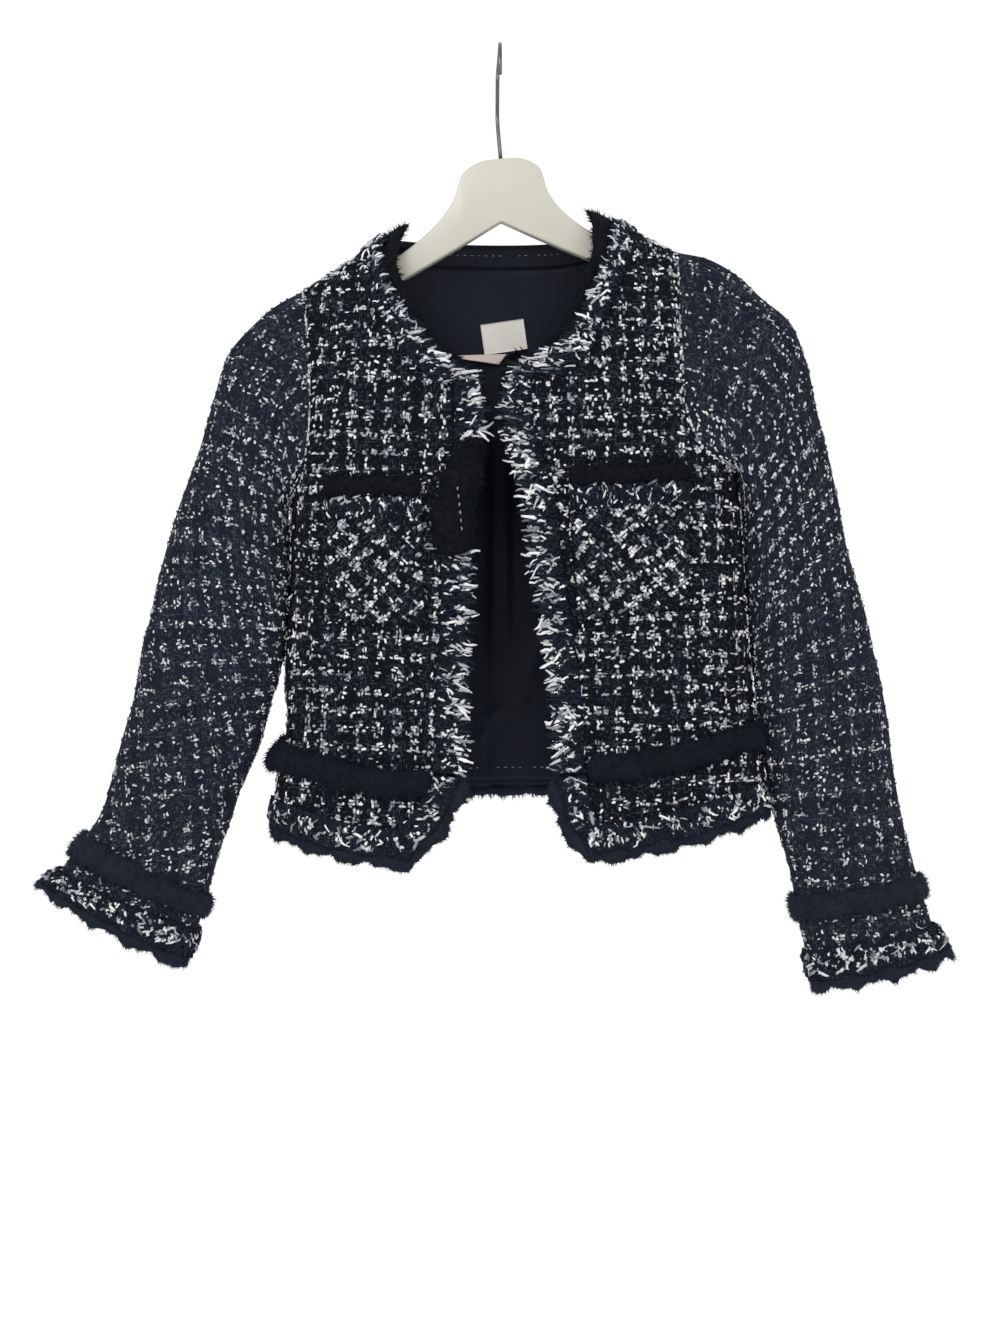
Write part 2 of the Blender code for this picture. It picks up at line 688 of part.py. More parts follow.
def add_front_trim(side):
    point = front_of(side)
    corner = corner_share(side)
    inside = [-FRINGE_OVER, FRINGE_WIDTH / 2, FRINGE_WIDTH]

    path = [(0, d, 1, 0) for d in edge_rows(side, 0.0, corner - 0.003)]
    found = front_surface(side, *beside_edge(point, path, inside))
    lay(f"fringe_front_{side}", found, FRINGE_LOW, FRINGE_HIGH, "fringe")

    path = [(0, d, 1, 0) for d in edge_rows(side, 0.0, NECK_SHARE - 0.004)]
    taper = np.linspace(FUR_NECK_REACH, FUR_EDGE_REACH, len(path))
    reach = np.column_stack([-taper, np.full(len(path), -EDGE_GAP)])
    found = front_surface(side, *beside_edge(point, path, reach))
    lay(f"fur_neck_{side}", found, -EDGE_UNDER, EDGE_OVER, "fur")

    path = [(0, d, 1, 0) for d in edge_rows(side, NECK_SHARE + 0.004, corner - 0.003)]
    found = front_surface(side, *beside_edge(point, path, [[-FUR_EDGE_REACH, -EDGE_GAP]]))
    lay(f"fur_edge_{side}", found, -EDGE_UNDER, EDGE_OVER, "fur")

    hem = [a for a in FRONT_SHARES if a > 0.2]
    slant = [(0, d, 1, 0) for d in edge_rows(side, corner + 0.003, 1.0)[:-1]]
    path = [*slant, (0, 1, 1, -1), *[(a, 1, 0, -1) for a in hem]]
    found = front_surface(side, *beside_edge(point, path, inside))
    lay(f"fringe_hem_{side}", found, FRINGE_LOW, FRINGE_HIGH, "fringe")

    reach = [[-FUR_HEM_REACH, -EDGE_GAP]]
    path = [*slant, (0, 1, 1, -1), *[(a, 1, 0, -1) for a in (0.1, *hem)]]
    found = front_surface(side, *beside_edge(point, path, reach))
    lay(f"fur_hem_{side}", found, -EDGE_UNDER, EDGE_OVER, "fur")

    low, high = BAND_RISE["hem"] - FUR_BAND_WIDTH / 2, BAND_RISE["hem"] + FUR_BAND_WIDTH / 2
    path = [(a, 1, 0, -1) for a in (0.17, *hem)]
    found = front_surface(side, *beside_edge(point, path, [[low, high]]))
    lay(f"fur_band_{side}", found, BAND_LOW, BAND_HIGH, "fur")


NECK_FAN = [
    # share of the half neck, then the way the fringe runs from its edge: across, down
    (1.0, 1.0, 0.0),
    (0.94, 0.8, 0.45),
    (0.86, 0.45, 0.85),
    (0.70, 0.0, 1.0),
    (0.35, 0.0, 1.0),
]


def add_back_trim():
    halves = {"left": -1, "right": 1}
    columns = [*-HALF_BACK_SHARES[:0:-1], *HALF_BACK_SHARES]
    low, high = BAND_RISE["hem"] - FUR_BAND_WIDTH / 2, BAND_RISE["hem"] + FUR_BAND_WIDTH / 2
    side_of = {a: "left" if a < 0 else "right" for a in columns}

    def table(distances_at):
        rows = []
        for a in columns:
            near = beside_edge(back_of(side_of[a]), [(abs(a), 1, 0, -1)], [distances_at(a)])
            rows.append((math.copysign(1, a) * near[0], near[1]))
        return back_surface(*(np.vstack(part) for part in zip(*rows)))

    def fringe(a):
        return [-2.0, FRINGE_WIDTH / 2, FRINGE_WIDTH]

    def fur(a):
        return [-FUR_BACK_REACH - (FUR_HEM_REACH - FUR_BACK_REACH) * a * a, -EDGE_GAP]

    def band(a):
        return [low, high]

    lay("fringe_hem_back", table(fringe), FRINGE_LOW, FRINGE_HIGH, "fringe")
    lay("fur_hem_back", table(fur), -WALL, EDGE_OVER, "fur")
    lay("fur_band_back", table(band), BAND_LOW, BAND_HIGH, "fur")

    rows, down = [], [0.5, 7.0, FRINGE_WIDTH]
    for side in SIDES:
        sign, end = halves[side], neck_share_across(side)
        half = beside_edge(back_of(side), [(end * a, 0, *way) for a, *way in NECK_FAN], [down])
        rows.append([sign * half[0], half[1]])
    middle = beside_edge(back_of("right"), [(0, 0, 0, 1)], [down])
    tables = [np.vstack([rows[0][i], middle[i], rows[1][i][::-1]]) for i in range(2)]
    lay("fringe_neck_back", back_surface(*tables), FRINGE_LOW + 1, FRINGE_HIGH + 1, "fringe")


def add_cuff_trim(side):
    point = sleeve_of(side)
    path = [(turn, 1, 0, -1) for turn in TURNS]

    def ring(distances):
        turns, downs = beside_edge(point, path, [distances])
        return sleeve_surface(side, turns.T, downs.T)

    flare = np.array([[0.0], [CUFF_FLARE]])
    fringe = ring([FRINGE_WIDTH, -FRINGE_OVER])
    lay(f"fringe_cuff_{side}", fringe, FRINGE_LOW + flare, FRINGE_HIGH + flare, "fringe", True)
    fur = ring([-EDGE_GAP, -FUR_CUFF_REACH])
    lay(f"fur_cuff_{side}", fur, -EDGE_UNDER + flare / 2, EDGE_OVER + flare / 2, "fur", True)
    low, high = BAND_RISE[side] - FUR_BAND_WIDTH / 2, BAND_RISE[side] + FUR_BAND_WIDTH / 2
    lay(f"fur_band_cuff_{side}", ring([high, low]), BAND_LOW, BAND_HIGH, "fur", True)


def add_turned_fur():
    """A soft lump that lies over the left fringe."""
    rows = Line(FUR_TURNED)
    ups, sides = np.linspace(0, 1, 7), np.linspace(-1, 1, 5)
    spots = np.empty((len(ups), len(sides), 3))
    for i, j in np.ndindex(len(ups), len(sides)):
        x, z = rows.at(ups[i])
        x += sides[j] * FUR_TURNED_HALF * (0.55 + 0.45 * math.sin(math.pi * ups[i]))
        spots[i, j] = (x, body_y(x, z, -1), z)
    dome = np.sqrt(np.outer(np.sin(np.pi * ups), 1 - sides**2))
    normals = np.zeros_like(spots)
    normals[..., 1] = -1
    low = np.full(dome.shape, FRINGE_HIGH + 0.6)
    lay("fur_turned_left", (spots, normals), low, low + 2 + FUR_TURNED_HIGH * dome, "fur")


# ---------------------------------------------------------------- hanger


def tube(name, rings, material):
    """A closed solid through rings of points, with flat ends."""
    count, size = rings.shape[:2]
    points = rings.reshape(-1, 3)
    faces = []
    for i in range(count - 1):
        for j in range(size):
            a, b = i * size + j, i * size + (j + 1) % size
            faces.extend([(a, b, b + size), (a, b + size, a + size)])
    last = (count - 1) * size
    for j in range(1, size - 1):
        faces.extend([(0, j + 1, j), (last, last + j, last + j + 1)])
    if volume_of(points, faces) < 0:
        faces = [face[::-1] for face in faces]
    mesh = bpy.data.meshes.new(name)
    mesh.from_pydata([tuple(point) for point in points * MM], [], faces)
    return add_object(name, mesh, material)


def add_hanger():
    top = np.array(HANGER_TOP, float)
    under = np.array(HANGER_UNDER[::-1], float)
    half_stations = sorted({*top[:, 0], 12.0, 80.0, 110.0, 150.0, 190.0, 211.0, HANGER_UNDER[0][0] - 0.4})
    stations = [*[-x for x in half_stations[:0:-1]], *half_stations]
    edge = HANGER_THICK / 2 - HANGER_ROUND
    rings = []
    for x in stations:
        high = np.interp(abs(x), [*top[:, 0], under[-1, 0]], [*top[:, 1], under[-1, 1]])
        low = np.interp(abs(x), under[:, 0], under[:, 1])
        bend = min(HANGER_ROUND, (high - low) / 2.2)
        ring = []
        for sign_y, sign_z, start in ((1, 1, 0), (-1, 1, 90), (-1, -1, 180), (1, -1, 270)):
            for turn in (start, start + 45, start + 90):
                y = sign_y * edge + HANGER_ROUND * math.cos(math.radians(turn))
                z = (high if sign_z > 0 else low) + bend * (math.sin(math.radians(turn)) - sign_z)
                ring.append((HANGER_AT[0] + x, y, HANGER_AT[1] + z + x * HANGER_SLOPE))
        rings.append(ring)
    tube("hanger", np.array(rings), "white_paint")


def hook_path():
    """The wire's middle as y, z: stem, lean, then the bend over the rail."""
    path = [(0, HOOK_FOOT_Z), (0, HOOK_BEND_Z)]
    centre = HOOK_WIRE / 2 - HOOK_RADIUS
    for t in np.linspace(0, 1, 9)[1:]:
        ease = t * t * (3 - 2 * t)
        path.append((HOOK_RADIUS * ease, HOOK_BEND_Z + (centre - HOOK_BEND_Z) * t))
    for turn in np.radians(np.arange(15, HOOK_END + 1, 19)):
        path.append((HOOK_RADIUS * math.cos(turn), centre + HOOK_RADIUS * math.sin(turn)))
    return np.array(path)


def add_hook():
    path = hook_path()
    sway = np.array(HOOK_SWAY, float)
    over = np.argmax(path[:, 1])
    x = np.interp(path[:, 1], sway[:, 0], sway[:, 1])
    x[over:] = 0
    middle = np.column_stack([x, path])
    ahead = np.gradient(middle, axis=0)
    ahead /= np.linalg.norm(ahead, axis=1, keepdims=True)
    ahead[0] = (0, 0, 1)
    aside = np.array([1.0, 0, 0])
    rings = []
    for spot, way in zip(middle, ahead):
        across = aside - way * (aside @ way)
        across /= np.linalg.norm(across)
        other = np.cross(way, across)
        turns = np.arange(10) * math.pi / 5
        rings.append([spot + HOOK_WIRE / 2 * (across * math.cos(t) + other * math.sin(t)) for t in turns])
    tube("hook", np.array(rings), "steel")


def main():
    for item in list(bpy.data.objects):
        bpy.data.objects.remove(item, do_unlink=True)
    MATERIALS.update({name: make_material(name) for name in COLOURS})
    add_tweed()
    add_lining()
    add_labels()
    add_pockets()
    for side in SIDES:
        add_front_trim(side)
        add_cuff_trim(side)
    add_back_trim()
    add_turned_fur()
    add_hanger()
    add_hook()


main()
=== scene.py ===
"""Looks of the cropped tweed jacket on its hanger: cloth, fringe, fur, lining and light."""

import math

import bpy
import numpy as np
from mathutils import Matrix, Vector
from mathutils.kdtree import KDTree


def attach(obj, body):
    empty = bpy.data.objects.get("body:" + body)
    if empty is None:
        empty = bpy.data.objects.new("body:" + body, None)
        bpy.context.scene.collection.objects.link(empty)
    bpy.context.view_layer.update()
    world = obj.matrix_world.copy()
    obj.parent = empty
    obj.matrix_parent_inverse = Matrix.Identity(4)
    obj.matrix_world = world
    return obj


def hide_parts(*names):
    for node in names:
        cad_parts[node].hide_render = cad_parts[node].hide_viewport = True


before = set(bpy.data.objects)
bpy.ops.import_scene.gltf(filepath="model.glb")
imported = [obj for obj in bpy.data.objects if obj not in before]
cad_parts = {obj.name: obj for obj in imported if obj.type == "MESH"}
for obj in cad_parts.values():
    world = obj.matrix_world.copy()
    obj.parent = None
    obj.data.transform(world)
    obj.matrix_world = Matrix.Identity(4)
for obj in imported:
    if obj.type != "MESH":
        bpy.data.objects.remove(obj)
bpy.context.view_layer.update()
MM = 0.001

# ---------------------------------------------------------------- driving dimensions, in mm

WALL = 2.0  # tweed
LINING_WALL = 1.0
LINING_GAP = 1.0  # between the back panel and its lining

# The shoulder line is a roof over the hanger: a rounded ridge that falls to each side.
RIDGE_X, RIDGE_Z, RIDGE_ROUND = 0.0, -117.0, 30.0
SHOULDER_SLOPE = {"left": 0.672, "right": 0.500}
NECK_X = {"left": -101.0, "right": 100.0}

# Body section: a flattened round, deepest at the bust.
FRONT_DEPTH, BUST_DEPTH, BUST_Z, BUST_SPREAD = 45.0, 8.0, -395.0, 95.0
BACK_DEPTH, BLADE_DEPTH, BLADE_Z, BLADE_SPREAD = 41.0, 6.0, -300.0, 110.0
SHOULDER_FALL = 150.0  # how far below the shoulder line the body reaches its full depth
SECTION_POWER = 2.6

BACK_NECK_Z = -168.5
BACK_HEM_Z = -654.0
HEM_SAG = 6.0  # of each front's hem below the straight line between its ends

# Outlines, columns x, z. Each runs from the top down.
NECKLINE = {
    "left": [(-101, None), (-103, -192), (-96, -212), (-80, -239), (-60, -266), (-36, -286), (-17, -296)],
    "right": [(100, None), (94, -182), (83, -209), (71, -236), (55, -262), (31, -279), (5, -290)],
}
FRONT_EDGE = {
    "left": [
        *[(-17, -296), (-17, -350), (-27, -420), (-29, -500), (-33, -565), (-37, -640)],
        *[(-54, -678), (-80, -708)],
    ],
    "right": [
        *[(5, -290), (8, -345), (24, -400), (32, -460), (41, -520), (49, -580), (52, -640)],
        *[(62, -680), (80, -703)],
    ],
}
ARMHOLE = {
    "left": [(-173, None), (-168, -262), (-165, -308), (-167, -350), (-174, -382), (-184, -402)],
    "right": [(155, None), (156, -240), (158, -290), (163, -330), (177, -358), (209, -374)],
}
SIDE_SEAM = {
    "left": [(-184, -402), (-185, -470), (-189.5, -548), (-188, -600), (-196, -640), (-200, -682)],
    "right": [(209, -374), (212, -410), (216, -470), (220, -530), (223.5, -570), (230, -615), (236, -666)],
}

# Sleeve rings: outer end, inner end and half depth. The first ring lies on the armhole.
SLEEVE = {
    "left": [
        # outer x, outer z, inner x, inner z, half depth
        (-173, -216, -184, -402, 34),
        (-197, -229, -186, -403, 38),
        (-217, -246, -187, -405, 40),
        (-238, -270, -188, -411, 40),
        (-250, -305, -186, -428, 39),
        (-265, -357, -185, -460, 38),
        (-284, -410, -186, -492, 37),
        (-299, -463, -187.5, -525, 36),
        (-311, -513, -194, -560, 35),
        (-326, -585, -211, -612, 33),
        (-338, -629, -227, -656, 32),
        (-351, -674, -246, -706, 31),
        (-370, -702, -257, -744, 32),
        (-388, -726, -265, -772, 34),
        (-400, -741, -271, -796, 36),
    ],
    "right": [
        # outer x, outer z, inner x, inner z, half depth
        (155, -182, 209, -374, 38),
        (183, -188, 211, -375, 40),
        (208, -202, 213, -377, 41),
        (231, -223, 215, -381, 41),
        (254, -242, 214, -389, 40),
        (268, -274, 214, -408, 40),
        (279, -322, 214.5, -445, 39),
        (292, -374, 216.5, -485, 38),
        (304, -432, 219, -520, 37),
        (318, -484, 221.5, -550, 36),
        (333, -550, 226, -594, 34),
        (343, -605, 233, -636, 33),
        (350, -660, 243, -684, 32),
        (360, -705, 255, -724, 31),
        (371, -744, 262, -764, 32),
        (380, -772, 269, -795, 34),
        (387, -792, 274, -815, 36),
    ],
}
SLEEVE_BLEND = 0.30  # share of the sleeve over which the armhole's outline fades into its rings

# Pockets: corners as x, z, from the one nearest the front edge at the mouth.
POCKET = {
    "left": {"mouth": ((-67, -398), (-150, -398)), "foot": ((-64, -511), (-145, -507))},
    "right": {"mouth": ((59, -390), (162, -385)), "foot": ((66, -507), (162, -494))},
}
POCKET_LIFT, POCKET_FRINGE = 1.4, 19.0

# The stretch of the left edge's fur that has rolled out over the fringe, x, z from its top.
FUR_TURNED = [(-22, -350), (-33, -376), (-39, -412), (-40, -450)]
FUR_TURNED_HALF, FUR_TURNED_OFF = 20.0, 8.4  # half its width, and its middle's height off the front
FUR_TURNED_SPAN = (-447.0, -350.0)  # z of its foot and top, where the fringe below shows no yarn

# Soft troughs of the body (face -1 front, 1 back), from the top down.
TROUGHS = [
    # face, top x, top z, foot x, foot z, half width, depth
    (-1, 192, -380, 204, -720, 14, 4.0),
    (1, -118, -260, -146, -700, 30, 5.0),
    (1, 138, -250, 166, -700, 30, 5.0),
    (1, 16, -330, 24, -700, 34, 4.0),
]
# Creases of each sleeve: middle as a share of its length and a turn, half sizes, and depth.
CREASES = {
    "left": [
        # down, turn in degrees, half down, half turn, depth
        (0.50, 120, 0.035, 70, 4.0),
        (0.62, 60, 0.030, 75, 3.5),
        (0.74, 130, 0.030, 65, 4.0),
        (0.56, 240, 0.035, 75, 4.0),
        (0.70, 290, 0.030, 70, 3.5),
    ],
    "right": [
        (0.46, 60, 0.035, 75, 4.0),
        (0.58, 125, 0.030, 70, 4.0),
        (0.71, 70, 0.030, 70, 3.5),
        (0.52, 250, 0.035, 75, 4.0),
        (0.66, 300, 0.030, 70, 3.5),
    ],
}

# Soft folds that only the cloth shows.
HEM_FOLD_Z = -690.0  # a fold whose foot is below this runs out through the hem
FOLDS = [
    # face, top x, top z, foot x, foot z, half width, height
    (-1, 168, -300, 176, -470, 9, -2.2),
    (-1, 176, -330, 196, -640, 16, 2.0),
    (-1, 120, -520, 112, -700, 20, 1.6),
    (-1, -120, -520, -128, -700, 18, -1.4),
    (-1, -100, -250, -150, -380, 16, 1.8),
    (-1, -168, -420, -166, -660, 9, -2.0),
    (-1, 104, -240, 140, -370, 18, 1.6),
    (1, -60, -220, -100, -420, 22, 2.0),
    (1, 74, -210, 112, -400, 22, 2.0),
    (1, -60, -430, -70, -700, 26, -2.2),
    (1, 84, -420, 92, -700, 24, -2.0),
    (1, 190, -420, 205, -700, 16, 2.0),
    (1, -168, -430, -175, -700, 14, 2.0),
]
# Finer creases of the sleeves, in the same terms.
FINE_CREASES = [
    # side, down, slope with turn, turn, half down, half turn, depth
    ("left", 0.36, 0.10, 110, 0.016, 60, 2.2),
    ("left", 0.42, -0.08, 80, 0.014, 55, 1.8),
    ("left", 0.55, 0.08, 60, 0.014, 60, 2.0),
    ("left", 0.66, -0.10, 115, 0.016, 60, 2.2),
    ("left", 0.79, 0.06, 70, 0.014, 60, 1.6),
    ("left", 0.45, 0.08, 250, 0.016, 60, 2.2),
    ("left", 0.62, -0.08, 290, 0.016, 60, 2.2),
    ("left", 0.78, 0.08, 255, 0.014, 60, 1.8),
    ("right", 0.34, -0.10, 110, 0.016, 60, 2.2),
    ("right", 0.40, 0.08, 70, 0.014, 60, 1.8),
    ("right", 0.52, -0.08, 60, 0.014, 55, 2.0),
    ("right", 0.64, 0.10, 120, 0.016, 60, 2.2),
    ("right", 0.77, -0.06, 80, 0.014, 60, 1.6),
    ("right", 0.45, 0.08, 250, 0.016, 60, 2.2),
    ("right", 0.60, -0.08, 285, 0.016, 60, 2.2),
    ("right", 0.76, 0.08, 250, 0.014, 60, 1.8),
]

# Labels on the back lining: middle x, z, and width, height, tilt in degrees.
LABEL_MAIN = (3.5, -249.0, 39.0, 27.0, 8.0)
LABEL_WALL, LABEL_LIFT = 0.45, 0.8
# The size label stands out from the lining: its corners as x, distance off the lining, z.
LABEL_SIZE = [(6, 2, -264.5), (-42, 12, -267.5), (-38, 15, -270), (-1, 4, -274)]

# Trim: widths along the cloth, and heights off it.
TRIM_LIFT = 1.4  # clear of the facets below it
FRINGE_WIDTH, FRINGE_OVER = 22.0, 4.0  # inside the cloth's edge, and beyond it
CUFF_FLARE = 4.0
CUFF_LIFT = {"left": (9.0, -4.5), "right": (2.0, -2.0)}  # of the ruffle's outer end, and of its inner
FUR_BAND_WIDTH = 26.0
BAND_RISE = {"hem": 64.0, "left": 44.0, "right": 58.0}  # of a fur band's middle above the edge
FUR_NECK_REACH = 13.0  # of the neck's fur beyond the cloth at the shoulder
NECK_FUR_BUMP = {"left": 9.0, "right": 13.0}  # how much further it stands at the very top
SIDE_BULGE = {"left": 4.5, "right": 1.0}  # of the hem band at the side seam
# How hairs lie: the lean of their tips inward, along and off the cloth, and their tufts' spacing in mm.
# The hem's fur takes the lighter copy of the same fur, as painted light.
HEM_FUR = {"clump": 9.5, "material": "fur_lit"}
BAND_FUR = {"lean": (-0.5, 0, 0.2), "clump": 11.0}
FRONT_CHECK_SHIFT = {"left": 7.0, "right": 0.0}  # of the tweed's check from the front edge
CORNER_Z = -640.0  # where each front's straight edge ends and its hem corner begins

# The lining's pleat down the middle of the back.
PLEAT_HIGH, PLEAT_TOP_Z, PLEAT_FULL_Z = 3.0, -300.0, -360.0

# Hanger: columns x, z from the middle of its head, one half.
HANGER_AT = (0.8, -99.0)
HANGER_SLOPE = math.tan(math.radians(4.8))  # its left side hangs lower
HANGER_THICK = 12.0
HANGER_TOP = [
    *[(0, 0), (20, -2), (33, -10), (41.5, -33), (52, -48)],
    *[(65, -60.5), (90, -78), (130, -96), (175, -115), (202, -129.5)],
]
HANGER_UNDER = [(208, -138), (201, -149), (175, -137), (130, -119), (80, -97), (40, -77), (0, -56)]
HANGER_ROUND = 2.5

# Hook: a wire whose middle runs up from the head, leans out, and bends over in the Y-Z plane.
HOOK_WIRE, HOOK_RADIUS, HOOK_END = 3.5, 22.0, 205.0
HOOK_FOOT_Z, HOOK_BEND_Z = -98.2, -66.0
HOOK_SWAY = [(-99, 0.6), (-66, -2.4), (-20, -2.2), (2, 0.0)]  # z, x

# Wrinkles of the lining.
LINING_WRINKLES = [
    # top x, top z, foot x, foot z, half width, height
    (27, -573, -20, -595, 4.0, 2.2),
    (-10, -600, -22, -616, 4.0, 1.8),
    (60, -480, 20, -560, 7.0, 1.6),
    (-60, -420, -30, -520, 8.0, 1.6),
    (-90, -330, -70, -470, 9.0, 1.8),
    (95, -330, 80, -470, 9.0, 1.8),
]

# Yarns: the check says how often a white yarn floats at each thread of the repeat.
PITCH = 2.65
CHECK_ACROSS = [0.84, 0.70, 0.34, 0.10, 0.05, 0.12]
CHECK_UP = [0.88, 0.72, 0.36, 0.10, 0.05, 0.12]
SLEEVE_GRAIN = {"left": -24.0, "right": 7.0}  # degrees from the sleeve's length
STRAND_PARTS, FUR_SIDES = 4, 10  # along a frayed yarn end, and round the fur's body
SLUB_LENGTHS, SLUB_WIDTHS = (2.2, 5.6), (1.2, 2.7)
SPINDLE_SIDES, SPINDLE_HIGH = 4, 0.6  # of a slub: its sides, and its height as a share of its width
DASH_REPEAT = 0.0297  # metres, of the tweed's grey dashes

LIGHTS = [
    # name, place, size in metres, watts
    ("key", (-1.2, -2.2, 0.9), 1.5, 30),
    ("fill", (1.6, -2.0, 0.1), 1.8, 12),
]
LIGHTS_AIM = (0, 0, -0.45)
WORLD_STRENGTH, FLOOR_Z, FLOOR_HALF = 1.04, -1600.0, 12000.0
CAMERA_AT, CAMERA_LENS, CAMERA_SENSOR = (0, -1.9, -0.544), 77.7, 36  # metres, mm, mm

SHEETS = [
    # part, flat width, flat length, flat area or none, held, what it hangs from or lies on
    ("front_left", 0.200, 0.500, 0.078, "hung", "hanger_wood"),
    ("front_right", 0.215, 0.505, 0.087, "hung", "hanger_wood"),
    ("back_panel", 0.450, 0.540, 0.192, "hung", "hanger_wood"),
    ("sleeve_left", 0.300, 0.600, 0.148, "hung", "hanger_wood"),
    ("sleeve_right", 0.310, 0.630, 0.164, "hung", "hanger_wood"),
    ("pocket_left", 0.084, 0.112, None, "laid", "front_left_cloth"),
    ("pocket_right", 0.104, 0.112, None, "laid", "front_right_cloth"),
    ("back_lining", 0.440, 0.500, 0.172, "hung", "back_panel_cloth"),
    ("back_neck_facing", 0.140, 0.018, None, "laid", "back_panel_cloth"),
    ("label_main", 0.039, 0.027, None, "laid", "back_lining_cloth"),
    ("label_size", 0.045, 0.010, 0.00031, "laid", "back_lining_cloth"),
    ("fringe_front_left", 0.0245, 0.522, None, "laid", "front_left_cloth"),
    ("fringe_front_right", 0.0245, 0.543, None, "laid", "front_right_cloth"),
    ("fringe_neck_back", 0.0205, 0.224, None, "laid", "back_panel_cloth"),
    ("fringe_hem_left", 0.0245, 0.215, None, "laid", "front_left_cloth"),
    ("fringe_hem_right", 0.0245, 0.240, None, "laid", "front_right_cloth"),
    ("fringe_hem_back", 0.0225, 0.460, None, "laid", "back_panel_cloth"),
    ("fringe_cuff_left", 0.0265, 0.362, None, "laid", "sleeve_left_cloth"),
    ("fringe_cuff_right", 0.0265, 0.320, None, "laid", "sleeve_right_cloth"),
    ("fringe_pocket_left", 0.017, 0.083, None, "laid", "pocket_left_cloth"),
    ("fringe_pocket_right", 0.017, 0.106, None, "laid", "pocket_right_cloth"),
]
GOES_WITH = {
    "back_panel": ["fur_hem_back_hair", "fur_band_back_hair"],
    "back_lining": ["back_lining_stitches"],
    "label_size": ["label_fur_wisp"],
}

SIDES = ("left", "right")
OUT = {"left": -1.0, "right": 1.0}
RIGHT, BACK, UP = np.eye(3)
FRONT = -BACK
NECK_SHARE, ARM_SHARE = 0.28, 0.45
GRID = 4.5  # mm between points of a panel
PANEL_LENGTH, EDGE_LENGTH = 500.0, 620.0  # of a body panel, and of a front's edge with its neckline
TRIM_COVER, BAND_COVER = 17.0, 10.0  # mm of cloth that fringe hides, and half of what a fur band hides
SEAM_FADE, SEAM_SPAN = 0.006, 14.0  # how far normals turn up beside the shoulder seam, and past its end
FEEL = 0.003  # the small step of a share by which slopes are found
STRIP_STEPS, BAND_STEPS = np.arange(-20, 31, 2.0), np.arange(40, 91, 3.0)  # mm in from an edge
MATERIALS, PIECES = {}, {}
random = np.random.default_rng(7)


# ---------------------------------------------------------------- form, as in the CAD part


class Line:
    """A smooth line through the rows of a table, read by the share of its length."""

    def __init__(self, rows, steps=16):
        knots = np.array(rows, float)
        chord = np.concatenate([[0], np.cumsum(np.linalg.norm(np.diff(knots, axis=0), axis=1))])
        slope = np.gradient(knots, chord, axis=0)
        pieces = []
        for i in range(len(knots) - 1):
            t = np.linspace(0, 1, steps, endpoint=False)[:, None]
            h = chord[i + 1] - chord[i]
            start = (1 + 2 * t) * (1 - t) ** 2 * knots[i] + t * (1 - t) ** 2 * h * slope[i]
            end = t * t * (3 - 2 * t) * knots[i + 1] + t * t * (t - 1) * h * slope[i + 1]
            pieces.append(start + end)
        self.points = np.vstack([*pieces, knots[-1:]])
        run = np.cumsum(np.linalg.norm(np.diff(self.points, axis=0), axis=1))
        self.length = run[-1]
        self.share = np.concatenate([[0], run / run[-1]])

    def at(self, share):
        share = np.asarray(share, float)
        inside = np.clip(share, 0, 1)
        found = np.stack([np.interp(inside, self.share, column) for column in self.points.T], -1)
        first, last = self.points[1] - self.points[0], self.points[-1] - self.points[-2]
        before = np.minimum(share, 0)[..., None] * self.length / np.linalg.norm(first)
        after = np.maximum(share - 1, 0)[..., None] * self.length / np.linalg.norm(last)
        return found + before * first + after * last


def shoulder_z(x):
    slope = np.where(x < RIDGE_X, SHOULDER_SLOPE["left"], SHOULDER_SLOPE["right"])
    return RIDGE_Z - slope * (np.hypot(x - RIDGE_X, RIDGE_ROUND) - RIDGE_ROUND)


def outline(rows):
    return Line([(x, float(shoulder_z(x)) if z is None else z) for x, z in rows])


neckline = {side: outline(NECKLINE[side]) for side in SIDES}
front_edge = {side: outline(FRONT_EDGE[side]) for side in SIDES}
armhole = {side: outline(ARMHOLE[side]) for side in SIDES}
side_seam = {side: outline(SIDE_SEAM[side]) for side in SIDES}
sleeve_rings = {side: Line(SLEEVE[side]) for side in SIDES}


def side_x(side, z):
    points = side_seam[side].points
    return np.interp(-z, -points[:, 1], points[:, 0])


